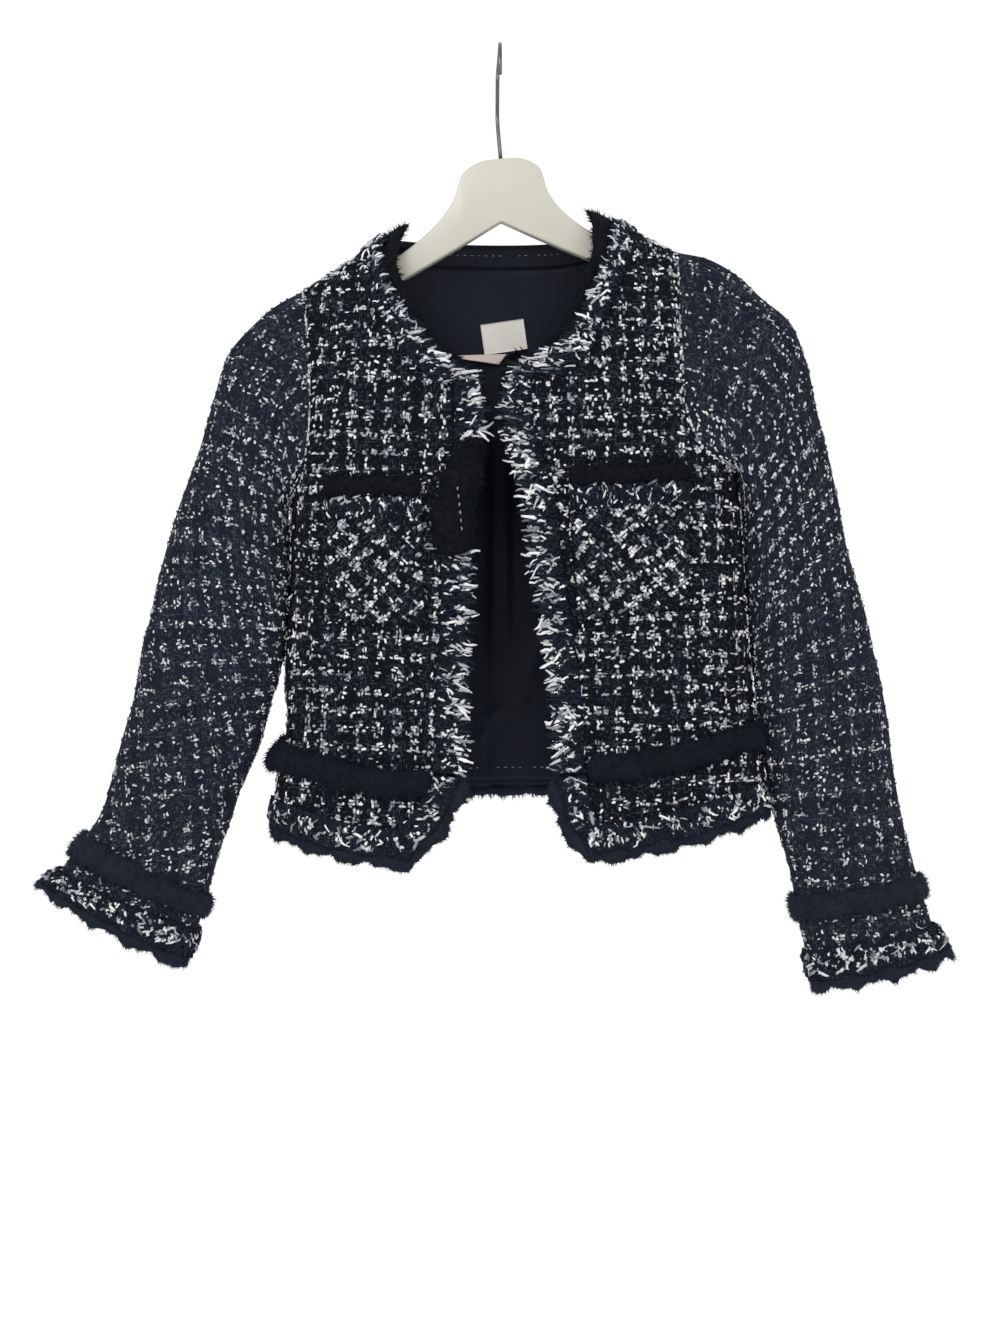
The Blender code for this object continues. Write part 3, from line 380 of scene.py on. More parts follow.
def body_y(x, z, face):
    """How far the body's front or back stands off the hanger's plane."""
    x, z = np.asarray(x, float), np.asarray(z, float)
    left, right = side_x("left", z), side_x("right", z)
    across = np.minimum(np.abs(x - (left + right) / 2) / ((right - left) / 2), 1.0)
    section = (1 - across**SECTION_POWER) ** (1 / SECTION_POWER)
    fall = np.clip((shoulder_z(x) - z) / SHOULDER_FALL, 0, 1)
    arch = np.sqrt(1 - (1 - fall) ** 2)
    for side_of, top_x, top_z, foot_x, foot_z, half_width, dip in TROUGHS:
        drop = np.clip((top_z - z) / (top_z - foot_z), 0, 1)
        aside = (x - top_x - (foot_x - top_x) * drop) / half_width
        if side_of == face:
            section = section - dip / FRONT_DEPTH * np.sin(drop * np.pi / 2) * np.exp(-aside * aside)
    section = np.maximum(section, 0)
    if face < 0:
        depth = FRONT_DEPTH + BUST_DEPTH * np.exp(-(((z - BUST_Z) / BUST_SPREAD) ** 2))
    else:
        depth = BACK_DEPTH + BLADE_DEPTH * np.exp(-(((z - BLADE_Z) / BLADE_SPREAD) ** 2))
    found = face * depth * arch * section
    for side_of, top_x, top_z, foot_x, foot_z, half_width, high in FOLDS:
        if side_of == face:
            along = (top_z - z) / (top_z - foot_z)
            aside = (x - top_x - (foot_x - top_x) * along) / half_width
            reach = np.pi if foot_z > HEM_FOLD_Z else np.pi / 2
            shape = np.sin(reach * np.clip(along, 0, 1)) * np.exp(-aside * aside)
            found = found + face * high * shape * np.minimum(section * 2, 1)
    return found


def lay(x, z, face):
    """Points of the body's front (face -1) or back (face 1)."""
    return np.stack([x, body_y(x, z, face), z], -1)


def inner_edge(side, down):
    upper = neckline[side].at(down / NECK_SHARE)
    lower = front_edge[side].at((down - NECK_SHARE) / (1 - NECK_SHARE))
    return np.where((down < NECK_SHARE)[..., None], upper, lower)


def outer_edge(side, down):
    upper = armhole[side].at(down / ARM_SHARE)
    lower = side_seam[side].at((down - ARM_SHARE) / (1 - ARM_SHARE))
    return np.where((down < ARM_SHARE)[..., None], upper, lower)


def front_point(side, across, down):
    bend = np.where(across > 0, np.sin(np.minimum(across, 1) * np.pi / 2), across * np.pi / 2)
    zero = np.zeros_like(down)
    inner, outer = inner_edge(side, down), outer_edge(side, down)
    inner_top, outer_top = inner_edge(side, zero), outer_edge(side, zero)
    x, z = np.moveaxis(inner * (1 - bend)[..., None] + outer * bend[..., None], -1, 0)
    top = inner_top * (1 - bend)[..., None] + outer_top * bend[..., None]
    z = z + (shoulder_z(top[..., 0]) - top[..., 1]) * (1 - np.clip(down, 0, 1)) ** 8
    z = z - HEM_SAG * np.sin(np.pi * np.clip(bend, 0, 1)) * np.clip(down, 0, 1) ** 3
    return lay(x, z, -1)


def back_point(side, across, down):
    bend = np.sin(np.minimum(across, 1) * np.pi / 2)[..., None]
    centre_x = (side_x("left", BACK_HEM_Z) + side_x("right", BACK_HEM_Z)) / 2
    centre_top, centre_foot = np.array([0, BACK_NECK_Z]), np.array([centre_x, BACK_HEM_Z])
    over_down = down[..., None]
    centre = centre_top * (1 - over_down) + centre_foot * over_down
    outer_top, outer_foot = outer_edge(side, np.array(0.0)), outer_edge(side, np.array(1.0))
    x = bend[..., 0] * ARMHOLE[side][0][0]
    share = x / NECK_X[side]
    corner_z = float(shoulder_z(NECK_X[side]))
    neck_z = BACK_NECK_Z + (corner_z - BACK_NECK_Z) * np.minimum(share, 1) ** 4
    top = np.stack([x, np.where(share >= 1, shoulder_z(x), neck_z)], -1)
    foot = centre_foot + (outer_foot - centre_foot) * np.concatenate([bend, bend**2], -1)
    over = np.maximum(1 - over_down, 0)
    spot = centre * (1 - bend) + outer_edge(side, down) * bend
    spot = spot + (top - centre_top * (1 - bend) - outer_top * bend) * over
    spot = spot + (foot - centre_foot * (1 - bend) - outer_foot * bend) * (1 - over)
    x, z = spot[..., 0], spot[..., 1]
    return lay(x, z, 1)


def whole_back_point(across, down):
    left = back_point("left", np.abs(across), down)
    right = back_point("right", np.abs(across), down)
    return np.where((across < 0)[..., None], left, right)


def armhole_point(side, turn):
    front = turn <= np.pi
    share = (1 - np.cos(np.where(front, turn, 2 * np.pi - turn))) / 2
    x, z = np.moveaxis(armhole[side].at(share), -1, 0)
    y = np.where(front, body_y(x, z, -1), body_y(x, z, 1))
    return np.stack([x, y, z], -1)


def ring_point(values, turn):
    outer_x, outer_z, inner_x, inner_z, depth = np.moveaxis(values, -1, 0)
    reach = np.cos(turn)
    x = (outer_x + inner_x) / 2 + (outer_x - inner_x) / 2 * reach
    z = (outer_z + inner_z) / 2 + (outer_z - inner_z) / 2 * reach
    return np.stack([x, -depth * np.sin(turn), z], -1)


def sleeve_point(side, turn, down):
    turn = np.mod(turn, 2 * np.pi)
    values = sleeve_rings[side].at(down)
    outer_x, outer_z, inner_x, inner_z, _ = np.moveaxis(values, -1, 0)
    middle = np.stack([(outer_x + inner_x) / 2, 0 * turn, (outer_z + inner_z) / 2], -1)
    spot = ring_point(values, turn)
    reach = np.linalg.norm(spot - middle, axis=-1, keepdims=True)
    degrees = np.degrees(turn)
    dip = 0
    for at_down, at_turn, half_down, half_turn, depth in CREASES[side]:
        along, about = (down - at_down) / half_down, (degrees - at_turn) / half_turn
        dip = dip + depth * np.exp(-along * along - about * about)
    for of_side, at_down, slope, at_turn, half_down, half_turn, depth in FINE_CREASES:
        if of_side == side:
            about = (degrees - at_turn) / half_turn
            along = (down - at_down - slope * about * 0.6) / half_down
            ridge = 0.6 * np.exp(-((along - 1.9) ** 2))
            dip = dip + depth * (np.exp(-along * along) - ridge) * np.exp(-about * about)
    spot = spot - (spot - middle) / reach * np.asarray(dip)[..., None]
    fade = np.clip(down / SLEEVE_BLEND, 0, 1)
    keep = (1 - fade * fade * (3 - 2 * fade))[..., None]
    first = ring_point(np.broadcast_to(np.array(SLEEVE[side][0], float), (*turn.shape, 5)), turn)
    return spot + keep * (armhole_point(side, turn) - first)


def front_of(side):
    return lambda across, down: front_point(side, across, down)


def back_of(side):
    return lambda across, down: back_point(side, across, down)


def sleeve_of(side):
    return lambda turn, down: sleeve_point(side, turn, down)


# ---------------------------------------------------------------- meshes



def unit(vectors):
    return vectors / np.maximum(np.linalg.norm(vectors, axis=-1, keepdims=True), 1e-9)


def slopes(point, across, downs, least=-np.inf):
    """How a surface function moves over a small step in each of its two shares."""
    over = point(across + FEEL, downs) - point(across - FEEL, downs)
    return over, point(across, downs + FEEL) - point(across, np.maximum(downs - FEEL, least))


def surface(point, across, downs, outward):
    """Points of a surface function over two tables of shares, and normals facing outward."""
    normals = unit(np.cross(*slopes(point, across, downs)))
    signs = np.sign((normals * outward).sum(axis=-1, keepdims=True))
    return point(across, downs), normals * np.where(signs == 0, 1, signs)


def new_object(name, points, faces, materials, index=None, attributes=None):
    """A mesh object from points in mm and arrays of equal-sided faces."""
    mesh = bpy.data.meshes.new(name)
    mesh.vertices.add(len(points))
    mesh.vertices.foreach_set("co", (np.asarray(points) * MM).ravel())
    corners = np.concatenate([part.ravel() for part in faces])
    totals = np.concatenate([np.full(len(part), part.shape[1]) for part in faces])
    mesh.loops.add(len(corners))
    mesh.loops.foreach_set("vertex_index", corners.astype(np.int32))
    mesh.polygons.add(len(totals))
    starts = np.concatenate([[0], np.cumsum(totals)[:-1]])
    mesh.polygons.foreach_set("loop_start", starts.astype(np.int32))
    mesh.polygons.foreach_set("use_smooth", np.ones(len(totals), bool))
    if index is not None:
        mesh.polygons.foreach_set("material_index", index.astype(np.int32))
    for material in materials:
        mesh.materials.append(MATERIALS[material])
    for key, values in (attributes or {}).items():
        values = np.asarray(values, float)
        kind, field = ("FLOAT", "value") if values.ndim == 1 else ("FLOAT_VECTOR", "vector")
        mesh.attributes.new(key, kind, "POINT").data.foreach_set(field, values.ravel())
    mesh.update(calc_edges=True)
    mesh.validate()
    made = bpy.data.objects.new(name, mesh)
    bpy.context.scene.collection.objects.link(made)
    return made


def grid_faces(rows, columns, ring=False):
    cells = columns if ring else columns - 1
    i, j = np.meshgrid(np.arange(rows - 1), np.arange(cells), indexing="ij")
    a, b = i * columns + j, i * columns + (j + 1) % columns
    return np.stack([a, b, b + columns, a + columns], -1).reshape(-1, 4)


def repeated(points, *faces):
    """Many copies of one small mesh: a row of points each, and its faces shifted for each."""
    points = points.reshape(len(points), -1, 3)
    shift = (np.arange(len(points)) * points.shape[1])[:, None, None]
    return points.reshape(-1, 3), [(part + shift).reshape(-1, part.shape[1]) for part in faces]


def turned(first, second, angle):
    """The direction at an angle from the first of two directions towards the second."""
    return first * math.cos(angle) + second * math.sin(angle)


def turned_each(first, second, angles):
    """The same for a table of directions, each with its own angle."""
    return first * np.cos(angles)[:, None] + second * np.sin(angles)[:, None]


def rim_faces(line, offset):
    """Quads between a line of point numbers and the same line on the other layer."""
    a, b = line[:-1], line[1:]
    return np.stack([a, a + offset, b + offset, b], -1)


def outward_order(points, faces, normals):
    """The faces turned so that most of them agree with the normals."""
    corner = points[faces]
    face_normal = np.cross(corner[:, 1] - corner[:, 0], corner[:, 2] - corner[:, 0])
    agree = (face_normal * normals[faces[:, 0]]).sum() > 0
    return faces if agree else faces[:, ::-1]


def cloth(name, spots, normals, thick, weave, materials):
    """A thin shell: the outer grid, an inner grid behind it, and its rims."""
    rows, columns = spots.shape[:2]
    count = rows * columns
    outer, inner = spots.reshape(-1, 3), (spots - thick * normals).reshape(-1, 3)
    front = outward_order(outer, grid_faces(rows, columns), normals.reshape(-1, 3))
    back = front[:, ::-1] + count
    numbers = np.arange(count).reshape(rows, columns)
    lines = (numbers[0], numbers[-1][::-1], numbers[::-1, 0], numbers[:, -1])
    rim = np.concatenate([rim_faces(line, count) for line in lines])
    inside = len(materials) - 1
    index = np.repeat([0, inside, 0], [len(front), len(back), len(rim)])
    woven = np.concatenate([weave.reshape(-1, 3)] * 2) * MM
    points, faces = np.concatenate([outer, inner]), np.concatenate([front, back, rim])
    return new_object(name, points, [faces], materials, index, {"weave": woven})


def woven_body(spots, face, start_column):
    """Weave coordinates in mm over a body panel: across and up, allowing for its curve."""
    x, z = spots[..., 0], spots[..., 2]
    slope_x = (body_y(x + 1, z, face) - body_y(x - 1, z, face)) / 2
    slope_z = (body_y(x, z + 1, face) - body_y(x, z - 1, face)) / 2
    stretch_x, stretch_z = (np.sqrt(1 + np.minimum(slope**2, 9)) for slope in (slope_x, slope_z))
    steps = np.diff(x, axis=1) * (stretch_x[:, 1:] + stretch_x[:, :-1]) / 2
    u = np.concatenate([np.zeros((len(x), 1)), np.cumsum(steps, axis=1)], 1)
    u = u - u[:, [start_column]] + x[:, [start_column]]
    rises = -np.diff(z, axis=0) * (stretch_z[1:] + stretch_z[:-1]) / 2
    fall = np.concatenate([np.zeros((1, z.shape[1])), np.cumsum(rises, axis=0)], 0)
    v = fall[-1:] - fall + z[-1:]
    return np.stack([u, v, np.zeros_like(u)], -1)


# ---------------------------------------------------------------- slubs laid on cloth

def spindles(centres, along, normals, lengths, widths):
    """Small tapered rolls: two rings and two tips each, flattened on the cloth."""
    n, count, high = SPINDLE_SIDES, len(centres), SPINDLE_HIGH
    across = unit(np.cross(normals, along))
    points = np.empty((count, 2 * n + 2, 3))
    length, width = lengths[:, None], widths[:, None]
    lift = normals * width * high * 0.45
    for ring, place in enumerate((-0.28, 0.28)):
        swell = 0.5 * random.uniform(0.8, 1.2, (count, 1))
        sway = across * width * random.uniform(-0.18, 0.18, (count, 1))
        spine = centres + along * length * place + lift + sway
        for k in range(n):
            points[:, ring * n + k] = spine + turned(across, normals * high, 2 * np.pi * k / n) * width * swell
    for tip, place in ((-2, -0.52), (-1, 0.52)):
        sway = across * width * random.uniform(-0.3, 0.3, (count, 1))
        points[:, tip] = centres + along * length * place + sway
    around = [(k, (k + 1) % n) for k in range(n)]
    quads = np.array([[k, after, n + after, n + k] for k, after in around])
    tips = [[after, k, 2 * n] for k, after in around] + [[n + k, n + after, 2 * n + 1] for k, after in around]
    return repeated(points, quads, np.array(tips))



def scatter_slubs(
    node, spots, normals, weave, hidden, turn=0.0, density=1.0, size=1.0, loose=0.22, material="slub"
):
    """White slubs along the threads of a check, over a grid with weave coordinates."""
    u, v = weave[..., 0], weave[..., 1]
    du, dv, dp = ([np.gradient(values, axis=k) for k in (1, 0)] for values in (u, v, spots))
    bound = du[0] * dv[1] - du[1] * dv[0]
    bound = np.where(np.abs(bound) < 1e-3, np.inf, bound)[..., None]
    along_u = (dp[0] * dv[1][..., None] - dp[1] * dv[0][..., None]) / bound
    along_v = (dp[1] * du[0][..., None] - dp[0] * du[1][..., None]) / bound
    tree = KDTree(u.size)
    for k, (a, b) in enumerate(zip(u.ravel(), v.ravel())):
        tree.insert((a, b, 0), k)
    tree.balance()
    cosine, sine = math.cos(turn), math.sin(turn)
    threads = (u * cosine + v * sine, v * cosine - u * sine)
    columns, rows = (range(int(t.min() / PITCH) - 1, int(t.max() / PITCH) + 2) for t in threads)
    wanted = []
    for i in columns:
        for j in rows:
            share_i, share_j = CHECK_ACROSS[i % len(CHECK_ACROSS)], CHECK_UP[j % len(CHECK_UP)]
            drift = math.sin(i * 0.37 + 1.3 * math.sin(j * 0.23)) * math.sin(j * 0.31 + math.sin(i * 0.29))
            for share, other, way in ((share_i, share_j, 1), (share_j, share_i, 0)):
                if random.random() < density * (0.75 + 0.45 * drift) * share * (0.22 + 0.75 * other):
                    wanted.append((i, j, way))
    wanted = np.array(wanted, float)
    upward = wanted[:, 2] == 1
    shift = random.normal(0, 0.16, (len(wanted), 2))
    place_i = (wanted[:, 0] + shift[:, 0] * np.where(upward, 1, 2)) * PITCH
    place_j = (wanted[:, 1] + shift[:, 1] * np.where(upward, 2, 1)) * PITCH
    found = []
    for k, (a, b) in enumerate(zip(place_i * cosine - place_j * sine, place_j * cosine + place_i * sine)):
        spot, index, distance = tree.find((a, b, 0))
        if distance < GRID * 0.75:
            found.append((k, index, a - spot[0], b - spot[1]))
    found = np.array(found)
    which, index = found[:, 0].astype(int), found[:, 1].astype(int)
    p, n, tu, tv = (values.reshape(-1, 3)[index] for values in (spots, normals, along_u, along_v))
    tu, tv = (way / np.maximum(np.linalg.norm(way, axis=1, keepdims=True), 1) for way in (tu, tv))
    centres = p + tu * found[:, [2]] + tv * found[:, [3]]
    angle = np.where(upward[which], np.pi / 2, 0) + turn + random.normal(0, loose, len(which))
    along = unit(turned_each(unit(tu), unit(tv), angle))
    shown = ~hidden.ravel()[index]
    count = shown.sum()
    lengths, widths = (random.uniform(*limits, count) * size for limits in (SLUB_LENGTHS, SLUB_WIDTHS))
    tone = np.clip(random.beta(1.35, 1.4, count), 0.03, 1)
    points, faces = spindles(centres[shown], along[shown], n[shown], lengths, widths)
    tones = {"tone": np.repeat(tone, 2 * SPINDLE_SIDES + 2)}
    piece(new_object(f"{node}_slubs", points, faces, [material], None, tones), "tweed")


# ---------------------------------------------------------------- strips along edges


class Strip:
    """A band of cloth beside an edge: read at mm along it, mm in from it, and mm above it."""

    def __init__(self, spots, normals, distances, closed=False):
        self.spots, self.normals, self.closed = spots, normals, closed
        self.distances = np.asarray(distances, float)
        middle = spots[:, np.argmin(np.abs(self.distances))]
        steps = np.linalg.norm(np.diff(middle, axis=0), axis=1)
        self.along = np.concatenate([[0], np.cumsum(steps)])
        self.length = self.along[-1]

    def place(self, along, inward, high=0.0):
        """Points and the three directions along, inward and off the cloth."""
        along = np.mod(along, self.length) if self.closed else np.clip(along, 0, self.length)
        row = np.interp(along, self.along, np.arange(len(self.along)))
        column = np.interp(inward, self.distances, np.arange(len(self.distances)))
        i = np.minimum(row.astype(int), len(self.along) - 2)
        j = np.minimum(column.astype(int), len(self.distances) - 2)
        r, c = (row - i)[..., None], (column - j)[..., None]

        def mixed(table):
            upper = table[i, j] * (1 - c) + table[i, j + 1] * c
            lower = table[i + 1, j] * (1 - c) + table[i + 1, j + 1] * c
            return upper * (1 - r) + lower * r

        normal = unit(mixed(self.normals))
        way = unit(self.spots[i + 1, j] - self.spots[i, j])
        inside = unit(self.spots[i, j + 1] - self.spots[i, j])
        extra = (inward - np.clip(inward, self.distances[0], self.distances[-1]))[..., None]
        spot = mixed(self.spots) + inside * extra + normal * np.asarray(high)[..., None]
        return spot, way, inside, normal


def beside_edge(point, path, distances):
    """Tables of shares for a strip: path rows are across, down and the way in from the edge."""
    a, d, into_a, into_d = np.asarray(path, float).T
    over, along = (step / FEEL / 2 for step in slopes(point, a, d))
    size_over, size_along = np.linalg.norm(over, axis=-1), np.linalg.norm(along, axis=-1)
    lean = np.linalg.norm(np.cross(over, along), axis=-1) / (size_over * size_along)
    across = a[:, None] + (into_a / (size_over * lean))[:, None] * distances
    return across, d[:, None] + (into_d / (size_along * lean))[:, None] * distances


def corner_share(side):
    """How far down the front its hem corner begins."""
    line = front_edge[side]
    return NECK_SHARE + (1 - NECK_SHARE) * np.interp(-CORNER_Z, -line.points[:, 1], line.share)


def front_edge_strip(side, first, last):
    point = front_of(side)
    path = [(0, d, 1, 0) for d in np.linspace(first, last, int((last - first) * EDGE_LENGTH / 3) + 2)]
    return Strip(*surface(point, *beside_edge(point, path, STRIP_STEPS), FRONT), STRIP_STEPS)


def front_hem_strip(side):
    """The hem of a front, round its slanted corner."""
    path = [(0, d, 1, 0) for d in np.linspace(corner_share(side) + 0.003, 0.955, 12)] + [(0, 1, 1, -1)]
    return hem_strip(side, path + [(a, 1, 0, -1) for a in np.linspace(0.13, 1.0, 56)], STRIP_STEPS)


def hem_strip(side, path, steps):
    point = front_of(side)
    spots, normals = surface(point, *beside_edge(point, path, steps), FRONT)
    return Strip(spots, fix_side(spots, normals, side), steps)


def fix_side(spots, normals, side):
    """Normals at the side seam point straight out."""
    near = np.clip(1 - np.abs(spots[..., 0] - side_x(side, spots[..., 2])) / 2.0, 0, 1)[..., None]
    return unit(normals * (1 - near) + np.array([OUT[side], 0, 0]) * near)


def back_hem_strip(steps=STRIP_STEPS):
    across = np.linspace(-1, 1, 150)
    path = [(abs(a), 1, 0, -1) for a in across]
    left, right = (beside_edge(back_of(side), path, steps) for side in SIDES)
    mine = (across < 0)[:, None]
    shares_of = np.where(mine, -left[0], right[0]), np.where(mine, left[1], right[1])
    spots, normals = surface(whole_back_point, *shares_of, BACK)
    mine = (spots[..., 0] < 0)[..., None]
    normals = np.where(mine, *(fix_side(spots, normals, side) for side in SIDES))
    return Strip(spots, normals, steps)


def back_neck_strip():
    """The back neck, turning down at its ends to follow the shoulder seams."""
    steps, shares_of = np.arange(0, 31, 2.0), np.linspace(0, 1, 26)
    fan = np.clip((shares_of - 0.74) / 0.26, 0, 1) * math.pi / 2
    rows = []
    for side in SIDES:
        end = math.asin(NECK_X[side] / ARMHOLE[side][0][0]) * 2 / math.pi
        path = [(end * share, 0, math.sin(f), math.cos(f)) for share, f in zip(shares_of, fan)]
        rows.append(beside_edge(back_of(side), path, steps))
    (left, left_downs), (right, right_downs) = rows
    downs = np.concatenate([left_downs[:0:-1], right_downs])
    across = np.concatenate([-left[:0:-1], right])
    return Strip(*surface(whole_back_point, across, np.maximum(downs, 0.0015), BACK + 0.4 * UP), steps)


def cuff_strip(side):
    steps, point = np.arange(-24, 81, 3.0), sleeve_of(side)
    tables = beside_edge(point, [(turn, 1, 0, -1) for turn in np.linspace(0, 2 * np.pi, 121)], steps)
    spots, normals = point(*tables), unit(np.cross(*slopes(point, *tables)))
    away = spots - spots.mean(axis=0, keepdims=True)
    return Strip(spots, normals * np.sign((normals * away).sum(-1, keepdims=True)), steps, closed=True)


# ---------------------------------------------------------------- fringe and fur


def wobble(along, scale, seed):
    """A smooth uneven value along an edge, about -1 to 1."""
    total = 0
    for k, factor in enumerate((1.0, 2.3, 4.1)):
        total = total + np.sin(along / scale * factor + seed * (k + 1.7)) / (1 + k)
    return total / 1.6


def band(node, strip, first, last, low, seed, ragged=1.2, thick=1.8, material="fringe"):
    """The strip of cloth that carries the fringe: a thin shell with an uneven outer edge."""
    along = np.linspace(0, strip.length, max(int(strip.length / 2.5), 4))
    share = np.linspace(0, 1, max(int(abs(last - first) / 3), 3))
    along, inward = np.meshgrid(along, first + (last - first) * share, indexing="ij")
    inward = inward + ragged * wobble(along, 5.0, seed) * (1 - share)
    swell = low + 0.5 * wobble(along + inward * 3, 7.0, seed + 2)
    spots, _, _, normals = strip.place(along, inward, swell)
    weave = np.stack([inward, along, 0 * along], -1)
    add_cloth(node, spots + normals * thick, normals, thick, weave, [material], "fringe")


def strands(
    strip, first, last, high, step, lengths, tilt=0.25, radius=0.75, curl=2.0, white=0.24, over=None, skip=None
):
    """Frayed yarn ends: thin three-sided tubes that run out across the strip.

    They start between first and last mm in from the edge, at heights in high, a step apart; over
    moves them outward, and skip leaves out those between two heights of the jacket.
    """
    count = int(strip.length / step)
    along = (np.arange(count) + random.uniform(-0.5, 0.5, count)) * step
    along = along if strip.closed else np.clip(along, 0, strip.length)
    if skip is not None:
        z = strip.place(along, np.full(count, 3.0), np.zeros(count))[0][:, 2]
        along = along[(z < skip[0]) | (z > skip[1])]
        count = len(along)

    def each(low, top):
        return random.uniform(low, top, (count, 1))

    t = np.linspace(0, 1, STRAND_PARTS + 1)[None, :]
    start = each(min(first, last), max(first, last))
    length = each(*lengths)
    drift = random.normal(0, tilt, (count, 1)) * length
    wave = each(-1, 1) * curl
    phase = each(0, 2 * np.pi)
    inward = start - length * t
    if over is not None:
        inward = inward - over(along)[:, None] * (0.4 + 0.6 * t)
    arch = np.sin(np.pi * np.clip(t * 0.85 + 0.1, 0, 1))
    height = high[0] + (high[1] - high[0]) * each(0.2, 1.0) * arch + 0.4 * np.sin(t * 7 + phase)
    run = along[:, None] + drift * t + wave * np.sin(t * 5 + phase) * t
    spots, _, _, normals = strip.place(run, inward, height)
    thick = radius * each(0.6, 1.3) * (1 - 0.45 * t**3) * (1 + 0.25 * np.sin(t * 14 + phase))
    ahead = unit(np.gradient(spots, axis=1))
    side = unit(np.cross(ahead, normals))
    up = np.cross(side, ahead)
    rings = [spots + turned(side, up, 2 * np.pi * k / 3 + 0.5) * thick[..., None] for k in range(3)]
    last = STRAND_PARTS * 3
    walls = grid_faces(STRAND_PARTS + 1, 3, ring=True)[:, ::-1]
    points, faces = repeated(np.stack(rings, 2), walls, np.array([[0, 1, 2], [last + 2, last + 1, last]]))
    pale = random.random(count) < white * (1 + 0.6 * np.sin(along / 4.3))
    tone = np.where(pale, random.uniform(0.35, 1.0, count), random.uniform(0.0, 0.14, count))
    return points, faces, np.repeat(tone, last + 3)


def merged(name, parts, material):
    """One object from several (points, faces, tone) parts."""
    points, faces, tones, shift = [], [], [], 0
    for part_points, part_faces, tone in parts:
        points.append(part_points)
        faces += [part + shift for part in part_faces]
        tones.append(tone)
        shift += len(part_points)
    return new_object(name, np.concatenate(points), faces, [material], None, {"tone": np.concatenate(tones)})


def pile(
    node, strip, inward, half, middle, thick, density, length, seed,
    whole=False, lean=(0, 0, 0), clump=7.0, swell=0.2, material="fur",
):
    """Fur: a soft rounded body along a strip with short tapered hairs all over it.

    inward is its middle from the edge and half its half width, either of them a number or a
    function of the share along; middle and thick are its height off the cloth and half thickness.
    Hairs cover the outer side, or the whole of it.
    """
    along = np.linspace(0, strip.length, max(int(strip.length / 3.0), 6))
    along = along[:-1] if strip.closed else along
    share = along / strip.length
    ends = np.clip(np.minimum(share, 1 - share) * strip.length / 5 + 0.15, 0, 1) ** 0.5
    ends = np.ones_like(along) if strip.closed else ends
    centre, width, thickness = (
        value(share) if callable(value) else np.full_like(share, value) for value in (inward, half, thick)
    )
    columns = (centre, width * 0.8, thickness, ends)

    def spot_at(run, centre, width, thick, end, turn):
        puff = (1 + swell * wobble(run + turn * 3, 6.0, seed)) * end
        rise = middle + (thick - thickness.min()) * 0.8 + thick * np.sin(turn) * puff
        return strip.place(run, centre + width * np.cos(turn) * puff, rise)

    around = FUR_SIDES
    run, turn = np.meshgrid(along, np.arange(around) * 2 * np.pi / around, indexing="ij")
    points = spot_at(run, *(values[:, None] + 0 * turn for values in columns), turn)[0].reshape(-1, 3)
    rows, last = len(along), (len(along) - 1) * around
    if strip.closed:
        points = np.concatenate([points, points[:around]])
        faces = [grid_faces(rows + 1, around, ring=True)]
    else:
        tips = [[0, k + 1, k] for k in range(1, around - 1)]
        tips += [[last, last + k, last + k + 1] for k in range(1, around - 1)]
        faces = [grid_faces(rows, around, ring=True), np.array(tips)]
    body = (points, faces, np.full(len(points), 0.1))

    hairs = int(strip.length * 2 * np.mean(width) * 1.25 * density * 0.6)
    place = random.random(hairs)
    run = place * strip.length
    turn = random.uniform(0, 2 * np.pi, hairs) if whole else random.uniform(-0.35, np.pi + 0.35, hairs)
    at = (np.interp(place, share, values) for values in columns)
    root, way, inside, normal = spot_at(run, *at, turn)
    outward = unit(turned_each(inside, normal * 1.2, turn))
    tuft = (run + 1.5 * np.sin(turn * 2)) / clump
    aside = (tuft - np.round(tuft))[:, None]
    lay_over = inside * lean[0] + way * lean[1] + normal * lean[2]
    outward = unit(outward + 0.3 * random.normal(0, 1, (hairs, 3)) - 1.1 * way * aside + lay_over)
    reach = random.uniform(*length, hairs)[:, None] * (1.35 - 1.5 * np.abs(aside))
    side = unit(np.cross(outward, way + 0.01))
    other = np.cross(outward, side)
    corners = [root - outward * 1.2 + turned(side, other, 2 * np.pi * k / 3) * 0.52 for k in range(3)]
    points = np.stack([*corners, root + outward * reach], 1)
    # Tone varies at random, plus painted shade: hairs at the edges of a tuft are darker, between the tufts.
    tone = np.clip(random.uniform(0.1, 0.9, hairs) + 0.25 - 0.7 * np.abs(aside[:, 0]), 0, 1)
    hair = (*repeated(points, np.array([[0, 1, 3], [1, 2, 3], [2, 0, 3]])), np.repeat(tone, 4))
    piece(merged(f"{node}_hair", [body, hair], material), "fur", node)


# ---------------------------------------------------------------- materials


def srgb(text):
    """A colour written as six hex digits, as linear red, green, blue, alpha."""
    parts = [int(text[i : i + 2], 16) / 255 for i in (0, 2, 4)]
    return (*[p / 12.92 if p <= 0.04045 else ((p + 0.055) / 1.055) ** 2.4 for p in parts], 1.0)


